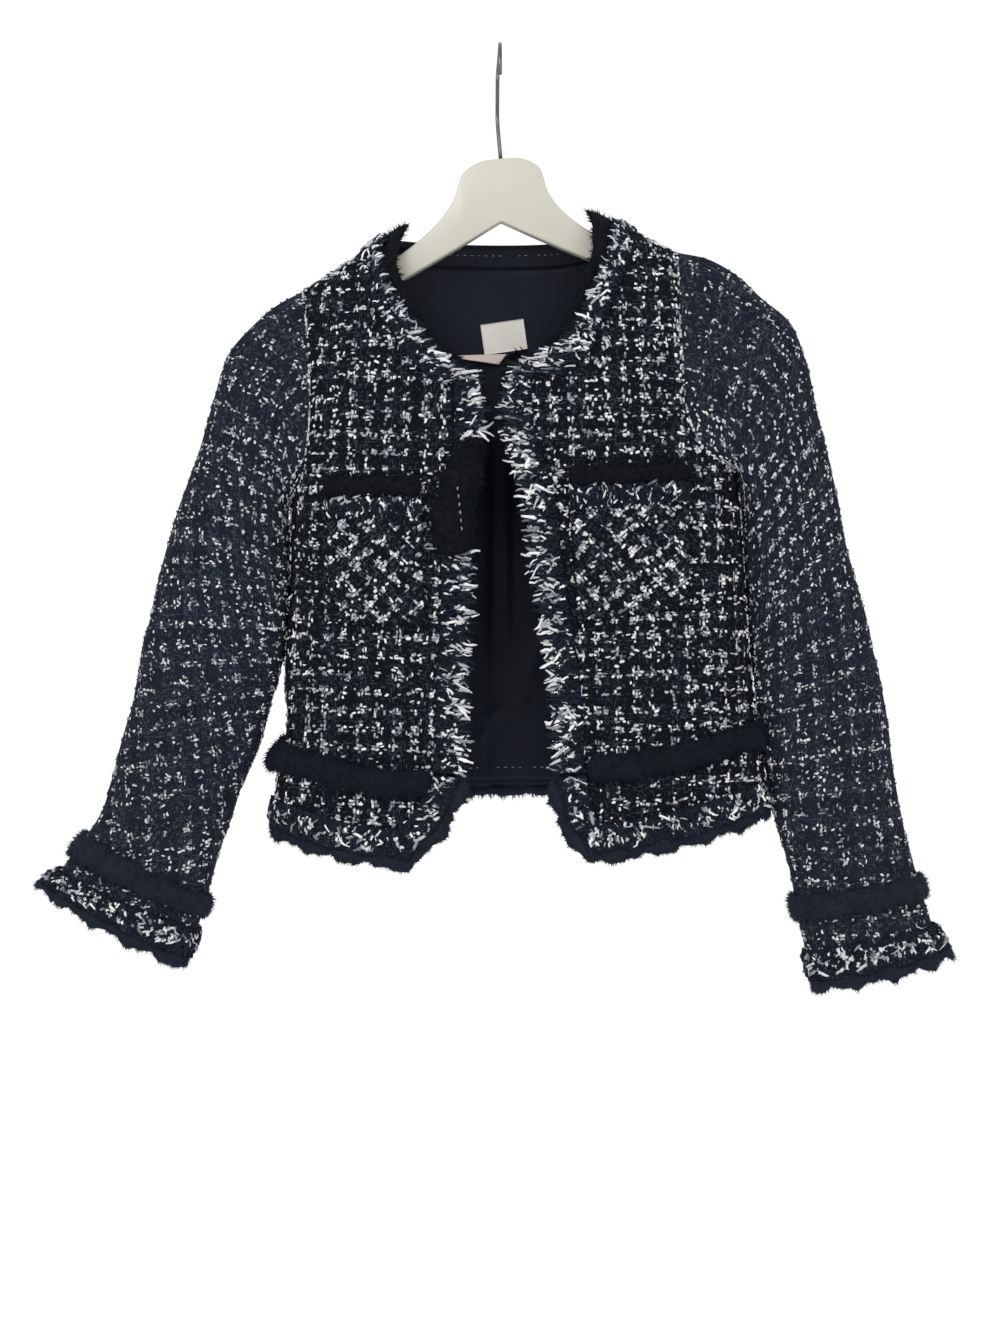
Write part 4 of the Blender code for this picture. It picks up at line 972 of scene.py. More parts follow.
class Nodes:
    """A short way to write a material's nodes."""

    def __init__(self, name, roughness, **sockets):
        self.material = bpy.data.materials.new(name)
        self.material.use_nodes = True
        self.tree = self.material.node_tree
        self.shader = self.tree.nodes["Principled BSDF"]
        self.shader.inputs["Roughness"].default_value = roughness
        for key, value in sockets.items():
            self.shader.inputs[key.replace("_", " ")].default_value = value
        MATERIALS[name] = self.material

    def add(self, kind, inputs=(), out=0, **settings):
        node = self.tree.nodes.new("ShaderNode" + kind)
        for key, value in settings.items():
            setattr(node, key, value)
        for key, value in dict(inputs).items():
            if isinstance(value, bpy.types.NodeSocket):
                self.tree.links.new(value, node.inputs[key])
            else:
                node.inputs[key].default_value = value
        return node.outputs[out]

    def attribute(self, name, out="Vector"):
        return self.add("Attribute", attribute_name=name, out=out)

    def math(self, operation, a, b=0.0):
        return self.add("Math", {0: a, 1: b}, operation=operation)

    def scaled(self, vector, by):
        return self.add("VectorMath", {0: vector, 1: by}, operation="MULTIPLY")

    def noise(self, vector, scale, detail=2.0, roughness=0.5):
        return self.add("TexNoise", {"Vector": vector, "Scale": scale, "Detail": detail, "Roughness": roughness})

    def ramp(self, value, *stops):
        made = self.add("ValToRGB", {"Fac": value})
        ramp = made.node.color_ramp
        while len(ramp.elements) < len(stops):
            ramp.elements.new(0.5)
        for element, (place, colour) in zip(ramp.elements, stops):
            element.position = place
            element.color = srgb(colour) if isinstance(colour, str) else (colour, colour, colour, 1)
        return made

    def mix(self, share, a, b, mode="MIX"):
        node = self.tree.nodes.new("ShaderNodeMix")
        node.data_type, node.blend_type = "RGBA", mode
        for key, value in (("Factor", share), ("A", a), ("B", b)):
            kind = "VALUE" if key == "Factor" else "RGBA"
            socket = next(s for s in node.inputs if s.name == key and s.type == kind and s.enabled)
            if isinstance(value, bpy.types.NodeSocket):
                self.tree.links.new(value, socket)
            else:
                socket.default_value = value
        return next(s for s in node.outputs if s.enabled)

    def total(self, *parts):
        """The sum of values, each times its share."""
        value, share = parts[0]
        first = self.math("MULTIPLY", value, share)
        return self.math("ADD", first, self.total(*parts[1:])) if parts[1:] else first

    def place(self):
        return self.add("TexCoord", out="Object")

    def bump(self, height, strength, distance):
        return self.add("Bump", {"Height": height, "Strength": strength, "Distance": distance})

    def finish(self, colour, normal=None, roughness=None):
        self.tree.links.new(colour, self.shader.inputs["Base Color"])
        if normal is not None:
            self.tree.links.new(normal, self.shader.inputs["Normal"])
        if roughness is not None:
            self.tree.links.new(roughness, self.shader.inputs["Roughness"])



def tweed_material(name, dark, light, dash, amount):
    """Woven wool: a dark ground, grey dashes gathered on a check, and single yarns in relief."""
    n = Nodes(name, 0.95, Specular_IOR_Level=0.06)
    weave = n.attribute("weave")
    split = n.add("SeparateXYZ", {0: weave}).node
    cloudy = n.noise(weave, 60.0, 3.0, 0.6)
    fine = n.noise(weave, 900.0, 2.0, 0.6)
    ground = n.ramp(n.total((cloudy, 0.5), (fine, 0.5)), (0.35, dark), (0.68, light))
    masks, waves = [], []
    for k, stretch in enumerate([(620.0, 210.0, 1.0), (210.0, 620.0, 1.0)]):
        shifted = {0: n.scaled(weave, stretch), 1: (3.1 * k, 7.7 * k, 0)}
        shape = n.noise(n.add("VectorMath", shifted, operation="ADD"), 1.0, 1.0, 0.4)
        turns = [n.math("MULTIPLY", split.outputs[k], 2 * math.pi / DASH_REPEAT * times) for times in (1.0, 3.0)]
        wave, finer = (n.math("SINE", turn) for turn in turns)
        favour = n.math("ADD", shape, n.total((wave, 0.05), (finer, 0.03)))
        masks.append(n.ramp(favour, (0.60 - amount, 0.0), (0.66 - amount, 1.0)))
        shape = {"Vector": weave, "Scale": 95.0, "Distortion": 3.0, "Detail": 2.0, "Detail Scale": 1.5}
        waves.append(n.add("TexWave", shape, out="Fac", bands_direction="XY"[k]))
    dashes, yarns = n.math("MAXIMUM", *masks), n.math("MULTIPLY", *waves)
    dashed = n.mix(n.math("MULTIPLY", dashes, 0.7), ground, n.mix(fine, srgb(dash), srgb("23272F")))
    height = n.total((yarns, 0.6), (fine, 0.7), (dashes, 0.5))
    colour = n.mix(n.math("MULTIPLY", yarns, 0.5), dashed, n.mix(0.3, dashed, srgb("181D25")))
    n.finish(colour, n.bump(height, 0.9, 0.0009))


def shaded_by_height(n, place, low, high):
    """Painted shade by height on one material: the low colour at the hem and cuffs, the high colour from the
    pockets up.
    """
    z = n.add("SeparateXYZ", {0: place}).node.outputs[2]
    return n.mix(n.ramp(n.math("ADD", z, 1.0), (0.34, 0.0), (0.56, 1.0)), low, high)


def yarn_material(name, stops, roughness=0.85):
    """Loose or floating yarn, coloured by how light each piece of it is."""
    n = Nodes(name, roughness, Sheen_Weight=0.08, Sheen_Tint=srgb("6A7A92"), Specular_IOR_Level=0.15)
    place = n.place()
    fine = n.noise(place, 1500.0, 2.0, 0.6)
    tone = n.attribute("tone", out="Fac")
    value = n.total((tone, 0.86), (fine, 0.16))
    n.finish(n.ramp(value, *stops), n.bump(fine, 0.5, 0.0004))


def fur_material(name, *stops):
    n = Nodes(name, 0.75, Sheen_Weight=0.1, Sheen_Roughness=0.4, Sheen_Tint=srgb("3A506E"), Specular_IOR_Level=0.12)
    place = n.place()
    cloudy = n.noise(place, 70.0, 3.0, 0.6)
    fine = n.noise(place, 900.0, 2.0, 0.6)
    tone = n.attribute("tone", out="Fac")
    value = n.total((tone, 0.55), (cloudy, 0.35), (fine, 0.1))
    colour = n.ramp(value, *stops)
    # Painted shade: the same fur is darkened to about half from the pockets up, and keeps its colour at the hem and
    # cuffs.
    painted_shade = n.mix(1.0, colour, srgb("B8B6B2"), "MULTIPLY")
    n.finish(shaded_by_height(n, place, colour, painted_shade), n.bump(fine, 0.4, 0.0006))


def lining_material():
    n = Nodes("lining", 0.5, Specular_IOR_Level=0.12)
    place = n.place()
    threads = n.noise(n.scaled(place, (1.0, 1.0, 0.12)), 2600.0, 1.0)
    cloudy = n.noise(place, 18.0, 2.0)
    colour = n.ramp(n.total((threads, 0.4), (cloudy, 0.6)), (0.3, "0A0E16"), (0.7, "141A27"))
    rough = n.ramp(threads, (0.2, 0.42), (0.8, 0.58))
    n.finish(colour, n.bump(threads, 0.25, 0.0003), rough)


def label_material(name, pale, dark):
    n = Nodes(name, 0.55, Sheen_Weight=0.1)
    place = n.place()
    across = n.noise(n.scaled(place, (0.25, 1.0, 1.0)), 3200.0, 1.0)
    cloudy = n.noise(place, 60.0, 2.0)
    value = n.total((across, 0.6), (cloudy, 0.4))
    n.finish(n.ramp(value, (0.3, dark), (0.7, pale)), n.bump(across, 0.4, 0.0002))


def paint_material():
    n = Nodes("white_paint", 0.36, Coat_Weight=0.15, Coat_Roughness=0.3)
    place = n.place()
    cloudy = n.noise(place, 14.0, 3.0, 0.6)
    grain = n.noise(n.scaled(place, (0.25, 1.0, 1.0)), 160.0, 2.0, 0.5)
    value = n.total((cloudy, 0.8), (grain, 0.2))
    rough = n.ramp(cloudy, (0.3, 0.30), (0.7, 0.44))
    n.finish(n.ramp(value, (0.3, "ACA99E"), (0.7, "B4B1A6")), n.bump(grain, 0.08, 0.0003), rough)


def steel_material():
    n = Nodes("steel", 0.28, Metallic=1.0)
    place = n.place()
    drawn = n.noise(n.scaled(place, (1.0, 1.0, 0.06)), 2600.0, 2.0)
    cloudy = n.noise(place, 120.0, 2.0)
    rough = n.ramp(cloudy, (0.3, 0.22), (0.7, 0.40))
    n.finish(n.ramp(drawn, (0.3, "3C3D40"), (0.7, "77787B")), n.bump(drawn, 0.15, 0.0002), rough)


def make_materials():
    tweed_material("tweed", "06080B", "0F1319", "42464D", 0.0)
    # Painted light: the sleeves are the same tweed as the body, given a lighter ground and dashes as they look in
    # the light.
    tweed_material("tweed_sleeve", "0D1118", "1D242F", "4B515B", 0.01)
    tweed_material("tweed_bias", "06080B", "0F1319", "484C53", 0.01)
    tweed_material("fringe", "080C13", "121923", "40464F", 0.0)
    # Painted light: a lighter copy of the same fringe cloth for the hems and cuffs.
    tweed_material("fringe_lit", "0C121A", "1A212C", "434953", 0.0)
    yarn_material("slub_soft", [(0.08, "3E434D"), (0.42, "84878E"), (0.85, "CFD0D0")])
    yarn_material("slub", [(0.08, "434852"), (0.42, "8C8F95"), (0.88, "E2E2E0")])
    yarn_material("yarn", [(0.05, "0A0F17"), (0.2, "151D29"), (0.38, "50565F"), (0.6, "A4A6AA"), (0.9, "DFE0DF")])
    yarn_material("thread", [(0.1, "2B2E35"), (0.9, "9A9CA0")], 0.7)
    fur_material("fur", (0.18, "080C12"), (0.5, "10161F"), (0.9, "1E2632"))
    # Painted light: a lighter copy of the same fur for the hems, cuffs and cuff bands, where it looks lighter in
    # the light.
    fur_material("fur_lit", (0.18, "10151D"), (0.5, "1D2431"), (0.9, "2F3745"))
    lining_material()
    label_material("label", "E4E1DA", "CFCBC3")
    label_material("label_pink", "DDCFC8", "C3B2AB")
    paint_material()
    steel_material()
    n = Nodes("floor", 0.9)
    n.finish(n.ramp(n.noise(n.place(), 3.0, 2.0), (0.3, "FAFAFA"), (0.7, "FDFDFD")))


# ---------------------------------------------------------------- the pieces


def piece(made, slot, *nodes):
    """A piece that rides on the one body and stands for its nodes; slot is not used."""
    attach(made, "root")
    if nodes:
        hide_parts(*nodes)
    PIECES[made.name] = made


def add_cloth(node, spots, normals, thick, weave, materials, slot):
    piece(cloth(f"{node}_cloth", spots, normals, thick, weave, materials), slot, node)


def eased(count):
    """Shares from 0 to 1, closer together near 1."""
    t = np.linspace(0, 1, count)
    return np.arcsin(0.5 * t + 0.5 * np.sin(t * np.pi / 2)) * 2 / np.pi


def body_shares(columns):
    t = np.linspace(0, 1, int(PANEL_LENGTH / GRID) + 2)
    return np.meshgrid(columns, 0.6 * t + 0.4 * t * t)


def shoulder_normals(spots, normals, downs, side, face):
    """Normals at the shoulder seam point up."""
    near = np.abs(spots[..., 0]) >= abs(NECK_X[side]) - SEAM_SPAN
    fade = (np.clip(1 - downs / SEAM_FADE, 0, 1) * near)[..., None]
    up = unit(OUT[side] * SHOULDER_SLOPE[side] * RIGHT + 0.4 * face * BACK + UP)
    return unit(normals * (1 - fade) + up * fade)


def under_trim(spots, middle):
    """Where fringe at the lower edge or a fur band above it hides the cloth."""
    rise = np.linalg.norm(spots - spots[-1:], axis=-1)
    return (rise < TRIM_COVER) | ((rise > middle - BAND_COVER) & (rise < middle + BAND_COVER))


def add_front(side):
    across, downs = body_shares(eased(44))
    spots, normals = surface(front_of(side), across, downs, FRONT)
    low = (downs >= ARM_SHARE)[..., None]
    normals = np.where(low, fix_side(spots, normals, side), normals)
    normals = shoulder_normals(spots, normals, downs, side, -1)
    weave = woven_body(spots, -1, 0)
    weave[..., 0] += FRONT_CHECK_SHIFT[side]
    node = f"front_{side}"
    add_cloth(node, spots, normals, WALL, weave, ["tweed", "lining"], "tweed")
    x, z = spots[..., 0], spots[..., 2]
    corners_x, corners_z = np.transpose(POCKET[side]["mouth"] + POCKET[side]["foot"])
    pocket = (x > corners_x.min() + 4) & (x < corners_x.max() - 4)
    pocket &= (z < corners_z.max()) & (z > corners_z.min() + 8)
    hidden = pocket | under_trim(spots, BAND_RISE["hem"])
    hidden |= np.linalg.norm(spots - spots[:, :1], axis=-1) < TRIM_COVER
    scatter_slubs(node, spots, normals, weave, hidden, math.radians(2 * OUT[side]))


def add_back():
    half = eased(48)
    across, downs = body_shares(np.concatenate([-half[:0:-1], half]))
    spots, normals = surface(whole_back_point, across, downs, BACK)
    for side in SIDES:
        mine = ((across < 0) == (side == "left"))[..., None]
        fixed = np.where((downs >= ARM_SHARE)[..., None], fix_side(spots, normals, side), normals)
        normals = np.where(mine, shoulder_normals(spots, fixed, downs, side, 1), normals)
    weave = woven_body(spots, 1, len(half) - 1)
    add_cloth("back_panel", spots, normals, WALL, weave, ["tweed", "lining"], "tweed")
    hidden = under_trim(spots, BAND_RISE["hem"]) | (downs < 0.02) & (np.abs(spots[..., 0]) < 95)
    scatter_slubs("back_panel", spots, normals, weave, hidden, density=0.86)


def add_sleeve(side):
    turns, point, node = np.linspace(0, 2 * np.pi, 70), sleeve_of(side), f"sleeve_{side}"
    tables = np.meshgrid(turns, np.linspace(0, 1, 136))
    spots, normals = point(*tables), unit(np.cross(*slopes(point, *tables, least=0)))
    away = spots - spots[:, :-1].mean(axis=1, keepdims=True)
    normals = normals * np.sign((normals * away).sum(-1).mean())
    steps = np.linalg.norm(np.diff(spots, axis=1), axis=-1)
    u = np.concatenate([np.zeros((len(spots), 1)), np.cumsum(steps, axis=1)], 1)
    u = (u - u[:, [len(turns) // 4]]) * -OUT[side]
    falls = np.linalg.norm(np.diff(spots, axis=0), axis=-1).mean(axis=1)
    v = -np.concatenate([[0], np.cumsum(falls)])[:, None] + 0 * u
    grain = math.radians(SLEEVE_GRAIN[side])
    weave = np.stack([turned(u, -v, grain), turned(v, u, grain), 0 * u], -1)
    # The sleeve takes the lighter copy of the tweed, as painted light.
    add_cloth(node, spots, normals, WALL, weave, ["tweed_sleeve", "lining"], "tweed")
    hidden = under_trim(spots, BAND_RISE[side])
    hidden[:, -1] = True
    scatter_slubs(node, spots, normals, weave, hidden, 0.0, 0.8, 0.86, 0.34, "slub_soft")


def add_pocket(side):
    (inner, outer), (low_inner, low_outer) = (np.array(POCKET[side][key], float) for key in ("mouth", "foot"))
    height, width = np.linalg.norm(low_inner - inner), np.linalg.norm(outer - inner)

    def laid(across, down):
        a, d = across[..., None], down[..., None]
        spot = (inner * (1 - a) + outer * a) * (1 - d) + (low_inner * (1 - a) + low_outer * a) * d
        return lay(*np.moveaxis(spot, -1, 0), -1)

    node = f"pocket_{side}"
    across, down = np.meshgrid(np.linspace(0, 1, 32), np.linspace(0, 1, 36))
    spots, normals = surface(laid, across, down, FRONT)
    edge = np.minimum(np.minimum(across, 1 - across) * width, (1 - down) * height)
    puff = 1.1 * (1 - np.exp(-edge / 5.0)) - 0.5 * np.exp(-(((edge - 4) / 1.6) ** 2))
    top = spots + (POCKET_LIFT + WALL + puff)[..., None] * normals
    x, z, bias = spots[..., 0], spots[..., 2], math.radians(45)
    weave = np.stack([turned(x, z, bias), turned(z, -x, bias), 0 * across], -1)
    add_cloth(node, top, normals, WALL, weave, ["tweed_bias"], "tweed")
    hidden = (down * height < 14) | (edge < 1.5)
    scatter_slubs(node, top, normals, weave, hidden, density=1.3, size=1.05, loose=0.16)

    steps = np.arange(-24, 31, 2.0)
    tables = np.meshgrid(np.linspace(0, 1, 34), steps / height, indexing="ij")
    strip = Strip(*surface(laid, *tables, FRONT), steps)
    low = POCKET_LIFT + WALL + 0.8
    band(f"fringe_{node}", strip, 2.0, POCKET_FRINGE, low, 3, 0.8, 1.6)
    base = low + 1.4
    add_yarns(f"fringe_{node}", [
        strands(strip, 11, 16, (base, base + 2.5), 0.8, (8, 14)),
        strands(strip, 5, 12, (base + 0.5, base + 3.5), 1.3, (3, 7), tilt=1.1, curl=3.5, radius=1.3),
        strands(strip, 17, 21, (base - 1, base + 1.5), 1.0, (3, 7), tilt=0.4),
    ])
    pile(f"fur_{node}", strip, -7.0, 11.5, POCKET_LIFT + 3.0, 3.8, 0.7, (2, 5), 11, lean=(0.4, 0, 0))


def add_yarns(node, parts):
    piece(merged(f"{node}_yarns", parts, "yarn"), "fringe")


def add_fringe(
    node, strip, seed, reach=FRINGE_OVER, lift=TRIM_LIFT, over=None, loops=1.0, skip=None, material="fringe"
):
    """A strip of fringe: its cloth, yarn ends along its edge and behind them, and loops."""
    band(node, strip, 1.5 - reach, FRINGE_WIDTH, lift, seed, material=material)
    base, first = lift + 1.4, 3 if reach > 0 else 9
    rows = [
        # first, last, lowest, highest, spacing, lengths, and how they lie
        (first + 5, first + 9, 0, 2.2, 1.05, (4.5, 9), dict(tilt=0.4, radius=1.1, over=over)),
        (14, FRINGE_WIDTH, 0, 2.0, 1.25, (4, 9), dict(tilt=0.5, radius=1.05)),
        (first, FRINGE_WIDTH - 3, 0.4, 3.2, 1.5 / loops, (2.5, 5.5),
         dict(tilt=1.4, curl=3.5, radius=1.3, white=0.42, over=over)),
        (5, 9, 0.6, 3, 4.6, (7, 11.5), dict(tilt=0.35, radius=1.35, white=0.8, over=over)),
    ]
    add_yarns(node, [
        strands(strip, start, end, (base + low, base + high), step, lengths, skip=skip, **how)
        for start, end, low, high, step, lengths, how in (rows if over else rows[:3])
    ])


def add_front_trim(side):
    left, end = side == "left", corner_share(side) - 0.003
    strip, hem = front_edge_strip(side, 0.0, end), front_hem_strip(side)
    add_fringe(
        f"fringe_front_{side}", strip, 21 + OUT[side],
        over=lambda along: 6.5 * np.clip((along - 0.36 * strip.length) / 25, 0, 1),
        loops=1.0 if left else 1.6, skip=FUR_TURNED_SPAN if left else None)
    # The hem's fringe takes the lighter copy of the same fringe cloth, as painted light.
    add_fringe(f"fringe_hem_{side}", hem, 31 + OUT[side], material="fringe_lit")

    def neck_reach(share):
        bump = NECK_FUR_BUMP[side] * np.exp(-(share / 0.13) ** 2)
        return FUR_NECK_REACH + (3.0 - FUR_NECK_REACH) * share**0.8 + bump

    neck = front_edge_strip(side, 0.0, NECK_SHARE - 0.004)
    pile(f"fur_neck_{side}", neck, lambda s: -neck_reach(s) / 2 - 0.5,
         lambda s: neck_reach(s) / 2 + 4.5 - 3.6 * s, -1.6, 3.4, 0.7, (2, 5.5), 41, lean=(-0.5, 0, 0))
    edge = front_edge_strip(side, NECK_SHARE + 0.004, end)
    pile(f"fur_edge_{side}", edge, -1.5, 4.5, -2.2, 2.2, 0.8, (2, 5), 42, lean=(-0.5, 0, 0))
    pile(f"fur_hem_{side}", hem, -4.5, 8.6, -1.6, 3.0, 0.9, (1.0, 3.2), 43,
         lean=(-0.6, 0, 0), swell=0.5, **HEM_FUR)

    bulge = SIDE_BULGE[side]

    def tall(share):
        grown = (1.5 + bulge) * np.clip((share - 0.8) / 0.2, 0, 1)
        return FUR_BAND_WIDTH / 2 + grown - 3 * np.clip((0.12 - share) / 0.12, 0, 1)

    above = hem_strip(side, [(a, 1, 0, -1) for a in np.linspace(0.085, 1.0, 56)], BAND_STEPS)
    pile(f"fur_band_{side}", above, BAND_RISE["hem"] - (5.0 if left else 0.0), tall, TRIM_LIFT + 2.2,
         lambda s: 4.2 + bulge * np.clip((s - 0.86) / 0.14, 0, 1), 0.62, (2, 4.5), 44, **BAND_FUR)


def add_back_trim():
    hem = back_hem_strip()
    # The back hem's fringe takes the lighter copy of the same fringe cloth, as painted light.
    add_fringe("fringe_hem_back", hem, 51, reach=2.0, material="fringe_lit")
    pile("fur_hem_back", hem, lambda s: -2.5 - 3.0 * (2 * s - 1) ** 2,
         lambda s: 5.0 + 3.0 * (2 * s - 1) ** 2, -1.0, 2.6, 0.8, (2, 5), 52,
         lean=(-0.5, 0, 0), swell=0.38, **HEM_FUR)
    pile("fur_band_back", back_hem_strip(BAND_STEPS), BAND_RISE["hem"], FUR_BAND_WIDTH / 2,
         TRIM_LIFT + 2.2, 4.2, 0.62, (2, 4.5), 53, **BAND_FUR)
    add_fringe("fringe_neck_back", back_neck_strip(), 54, reach=0.0, lift=TRIM_LIFT + 0.6)


def add_cuff_trim(side):
    strip = cuff_strip(side)
    flared = Strip(strip.spots + flare_of(strip, side), strip.normals, strip.distances, closed=True)
    # The cuff's fringe takes the lighter copy of the same fringe cloth, as painted light.
    add_fringe(f"fringe_cuff_{side}", flared, 61 + OUT[side], reach=6.0, loops=1.6, material="fringe_lit")
    # The cuff's fur and its band take the lighter copy of the same fur, as painted light.
    pile(f"fur_cuff_{side}", flared, -7.0, 9.5, -2.0, 3.2, 0.8, (1.2, 3.6), 63, whole=True,
         lean=(-0.7, 0, 0), clump=11.0, swell=0.55, material="fur_lit")
    pile(f"fur_band_cuff_{side}", strip, BAND_RISE[side], FUR_BAND_WIDTH / 2, TRIM_LIFT + 1.6, 3.6,
         0.62, (1.5, 3.8), 64, material="fur_lit", **BAND_FUR)


def flare_of(strip, side):
    """The cuff's cloth opens outward below the fur band, and ripples."""
    share = np.clip((FRINGE_WIDTH - strip.distances) / (FRINGE_WIDTH + FRINGE_OVER), 0, 1.6)[None, :, None]
    turn = (strip.along / strip.length * 2 * np.pi)[:, None, None]
    ripple = 1.6 * np.sin(turn * 7 + 1) + 1.2 * np.sin(turn * 11)
    inward = unit(strip.spots[:, -1:] - strip.spots[:, :1])
    outer, inner = CUFF_LIFT[side]
    lift, narrow = (1 + np.cos(turn)) / 2 * outer, (1 - np.cos(turn)) / 2 * inner
    return (strip.normals * (CUFF_FLARE + ripple + narrow) + inward * lift) * share


def add_turned_fur():
    steps = np.arange(-30, 31, 2.0)
    x, z = (column[:, None] for column in Line(FUR_TURNED).at(np.linspace(0, 1, 40)).T)
    spots = lay(x + steps, z + 0 * steps, -1)
    strip = Strip(spots, np.broadcast_to(FRONT, spots.shape), steps)

    def half(share):
        return FUR_TURNED_HALF * np.interp(share, [0, 0.35, 0.85, 1], [0.35, 1, 1, 0.8]) + np.sin(9 * share)

    pile("fur_turned_left", strip, lambda s: 2 * np.sin(7 * s), half, FUR_TURNED_OFF, 5.6, 0.8, (1.8, 4.5), 71)
    top, foot, count = -394, -428, 6
    z = np.linspace(top, foot, count)
    x = np.interp(z, [foot, top], [-32.5, -36])
    ahead = np.tile(unit(np.array([0.1, 0, -1.0])), (count, 1))
    spots, normals = lay(x, z, -1) + 15.6 * FRONT, np.tile(FRONT, (count, 1))
    points, faces = spindles(spots, ahead, normals, np.full(count, 3.6), np.full(count, 1.5))
    stitches = merged("front_left_pick_stitches", [(points, faces, np.full(len(points), 0.55))], "thread")
    piece(stitches, "fringe")


def add_lining():
    half = np.concatenate([np.linspace(0, 0.1, 22), eased(40)[eased(40) > 0.105][:-1]])
    tables = np.meshgrid(np.concatenate([-half[:0:-1], half]), np.linspace(0.043, 0.985, 120))
    spots, normals = surface(whole_back_point, *tables, BACK)
    x, z = spots[..., 0], spots[..., 2]
    rise = np.clip((PLEAT_TOP_Z - z) / (PLEAT_TOP_Z - PLEAT_FULL_Z), 0, 1)
    fall = np.clip((z + 560) / 90, 0.25, 1)
    pleat = PLEAT_HIGH * rise * fall / (1 + np.exp((np.abs(x) - 6.0 - 3.0 * rise) / 1.6))
    wrinkle = 0
    for top_x, top_z, foot_x, foot_z, half_width, high in LINING_WRINKLES:
        run_x, run_z = foot_x - top_x, foot_z - top_z
        along = np.clip(((x - top_x) * run_x + (z - top_z) * run_z) / (run_x**2 + run_z**2), -0.2, 1.2)
        away = np.hypot(x - top_x - run_x * along, z - top_z - run_z * along) / half_width
        wrinkle = wrinkle + high * np.exp(-(away**2)) * np.sin(np.pi * np.clip(along, 0, 1)) ** 0.5
    under = spots - (WALL + LINING_GAP + pleat + wrinkle)[..., None] * normals
    add_cloth("back_lining", under, normals, LINING_WALL, spots, ["lining"], "lining")

    tables = np.meshgrid(np.linspace(-0.37, 0.37, 60), np.linspace(0.004, 0.041, 8))
    spots, normals = surface(whole_back_point, *tables, BACK)
    under = spots - (WALL + 0.5) * normals
    add_cloth("back_neck_facing", under, normals, LINING_WALL, spots, ["lining"], "lining")

    parts = []
    for down, limit, gap, off in ((0.018, 0.24, 0.024, 1.7), (0.962, 0.55, 0.019, LINING_GAP + 1.7)):
        place = np.arange(-limit, limit, gap)
        place = place[random.random(len(place)) < 0.7]
        count = len(place)
        spots, normals = surface(whole_back_point, place, np.full(count, down), BACK)
        ahead = unit(np.gradient(spots, axis=0))
        lengths, widths = random.uniform(2.2, 3.2, count), np.full(count, 0.8)
        points, faces = spindles(spots - (WALL + off) * normals, ahead, -normals, lengths, widths)
        parts.append((points, faces, np.full(len(points), 0.62)))
    piece(merged("back_lining_stitches", parts, "thread"), "lining")


def inside_back(x, z, off):
    return lay(x, z, 1) + (WALL + LINING_GAP + LINING_WALL + off)[..., None] * FRONT


def add_labels():
    x, z, width, height, tilt = LABEL_MAIN
    u, v = np.meshgrid(np.linspace(-0.5, 0.5, 24), np.linspace(0.5, -0.5, 18))
    lift = LABEL_LIFT + 0.9 * (2 * u) ** 4 * (0.5 - v) + 0.4 * np.sin(5 * u + 2 * v)
    along, up, lean = width * u, height * v, math.radians(tilt)
    spots = inside_back(x + turned(along, -up, lean), z + turned(up, along, lean), lift)
    normals = np.broadcast_to(FRONT, spots.shape)
    add_cloth("label_main", spots, normals, LABEL_WALL, spots, ["label"], "label")

    a, b, c, d = np.array(LABEL_SIZE, float)
    s, t = np.meshgrid(np.linspace(0, 1, 24), np.linspace(0, 1, 10))
    s, t = s[..., None], t[..., None]
    x, off, z = np.moveaxis(a * (1 - s) * (1 - t) + b * s * (1 - t) + c * s * t + d * (1 - s) * t, -1, 0)
    curl = (1.2 * np.sin(np.pi * s) - 1.0 * (s - 0.5) * (t - 0.5))[..., 0]
    spots = inside_back(x, z, off + curl)
    normals = np.broadcast_to(unit(0.7 * FRONT + 0.7 * UP), spots.shape)
    add_cloth("label_size", spots, normals, LABEL_WALL, spots, ["label_pink"], "label")

    count = 90
    x, z = random.normal(16, 4.5, count), random.normal(-268, 3.5, count)
    start = inside_back(x, z, np.full(count, 1.5))
    way = [random.normal(0.2, 0.8, count), -0.5 - 0.5 * random.random(count), random.normal(0.3, 0.6, count)]
    way = unit(np.stack(way, -1))
    reach = random.uniform(4, 9, count)[:, None]
    side = unit(np.cross(way, BACK + 0.2 * UP))
    swings = [turned(side, np.cross(way, side), 2.1 * k) for k in range(3)]
    points = [start + swing * 0.7 for swing in swings]
    points += [start + way * reach * 0.55 + side * reach * 0.08 + swing * 0.45 for swing in swings]
    points.append(start + way * reach + side * reach * 0.3)
    quads = np.array([[0, 1, 4, 3], [1, 2, 5, 4], [2, 0, 3, 5]])
    tips = np.array([[3, 4, 6], [4, 5, 6], [5, 3, 6], [2, 1, 0]])
    part = (*repeated(np.stack(points, 1), quads, tips), np.repeat(random.random(count) * 0.6, 7))
    piece(merged("label_fur_wisp", [part], "fur"), "fur")


def add_tube(name, rings, material, node):
    """A closed tube through rings of points, with flat ends."""
    rows, size = rings.shape[:2]
    ends = np.arange(size)[None]
    faces = [grid_faces(rows, size, ring=True), ends[:, ::-1], ends + (rows - 1) * size]
    piece(new_object(name, rings.reshape(-1, 3), faces, [material]), material, node)


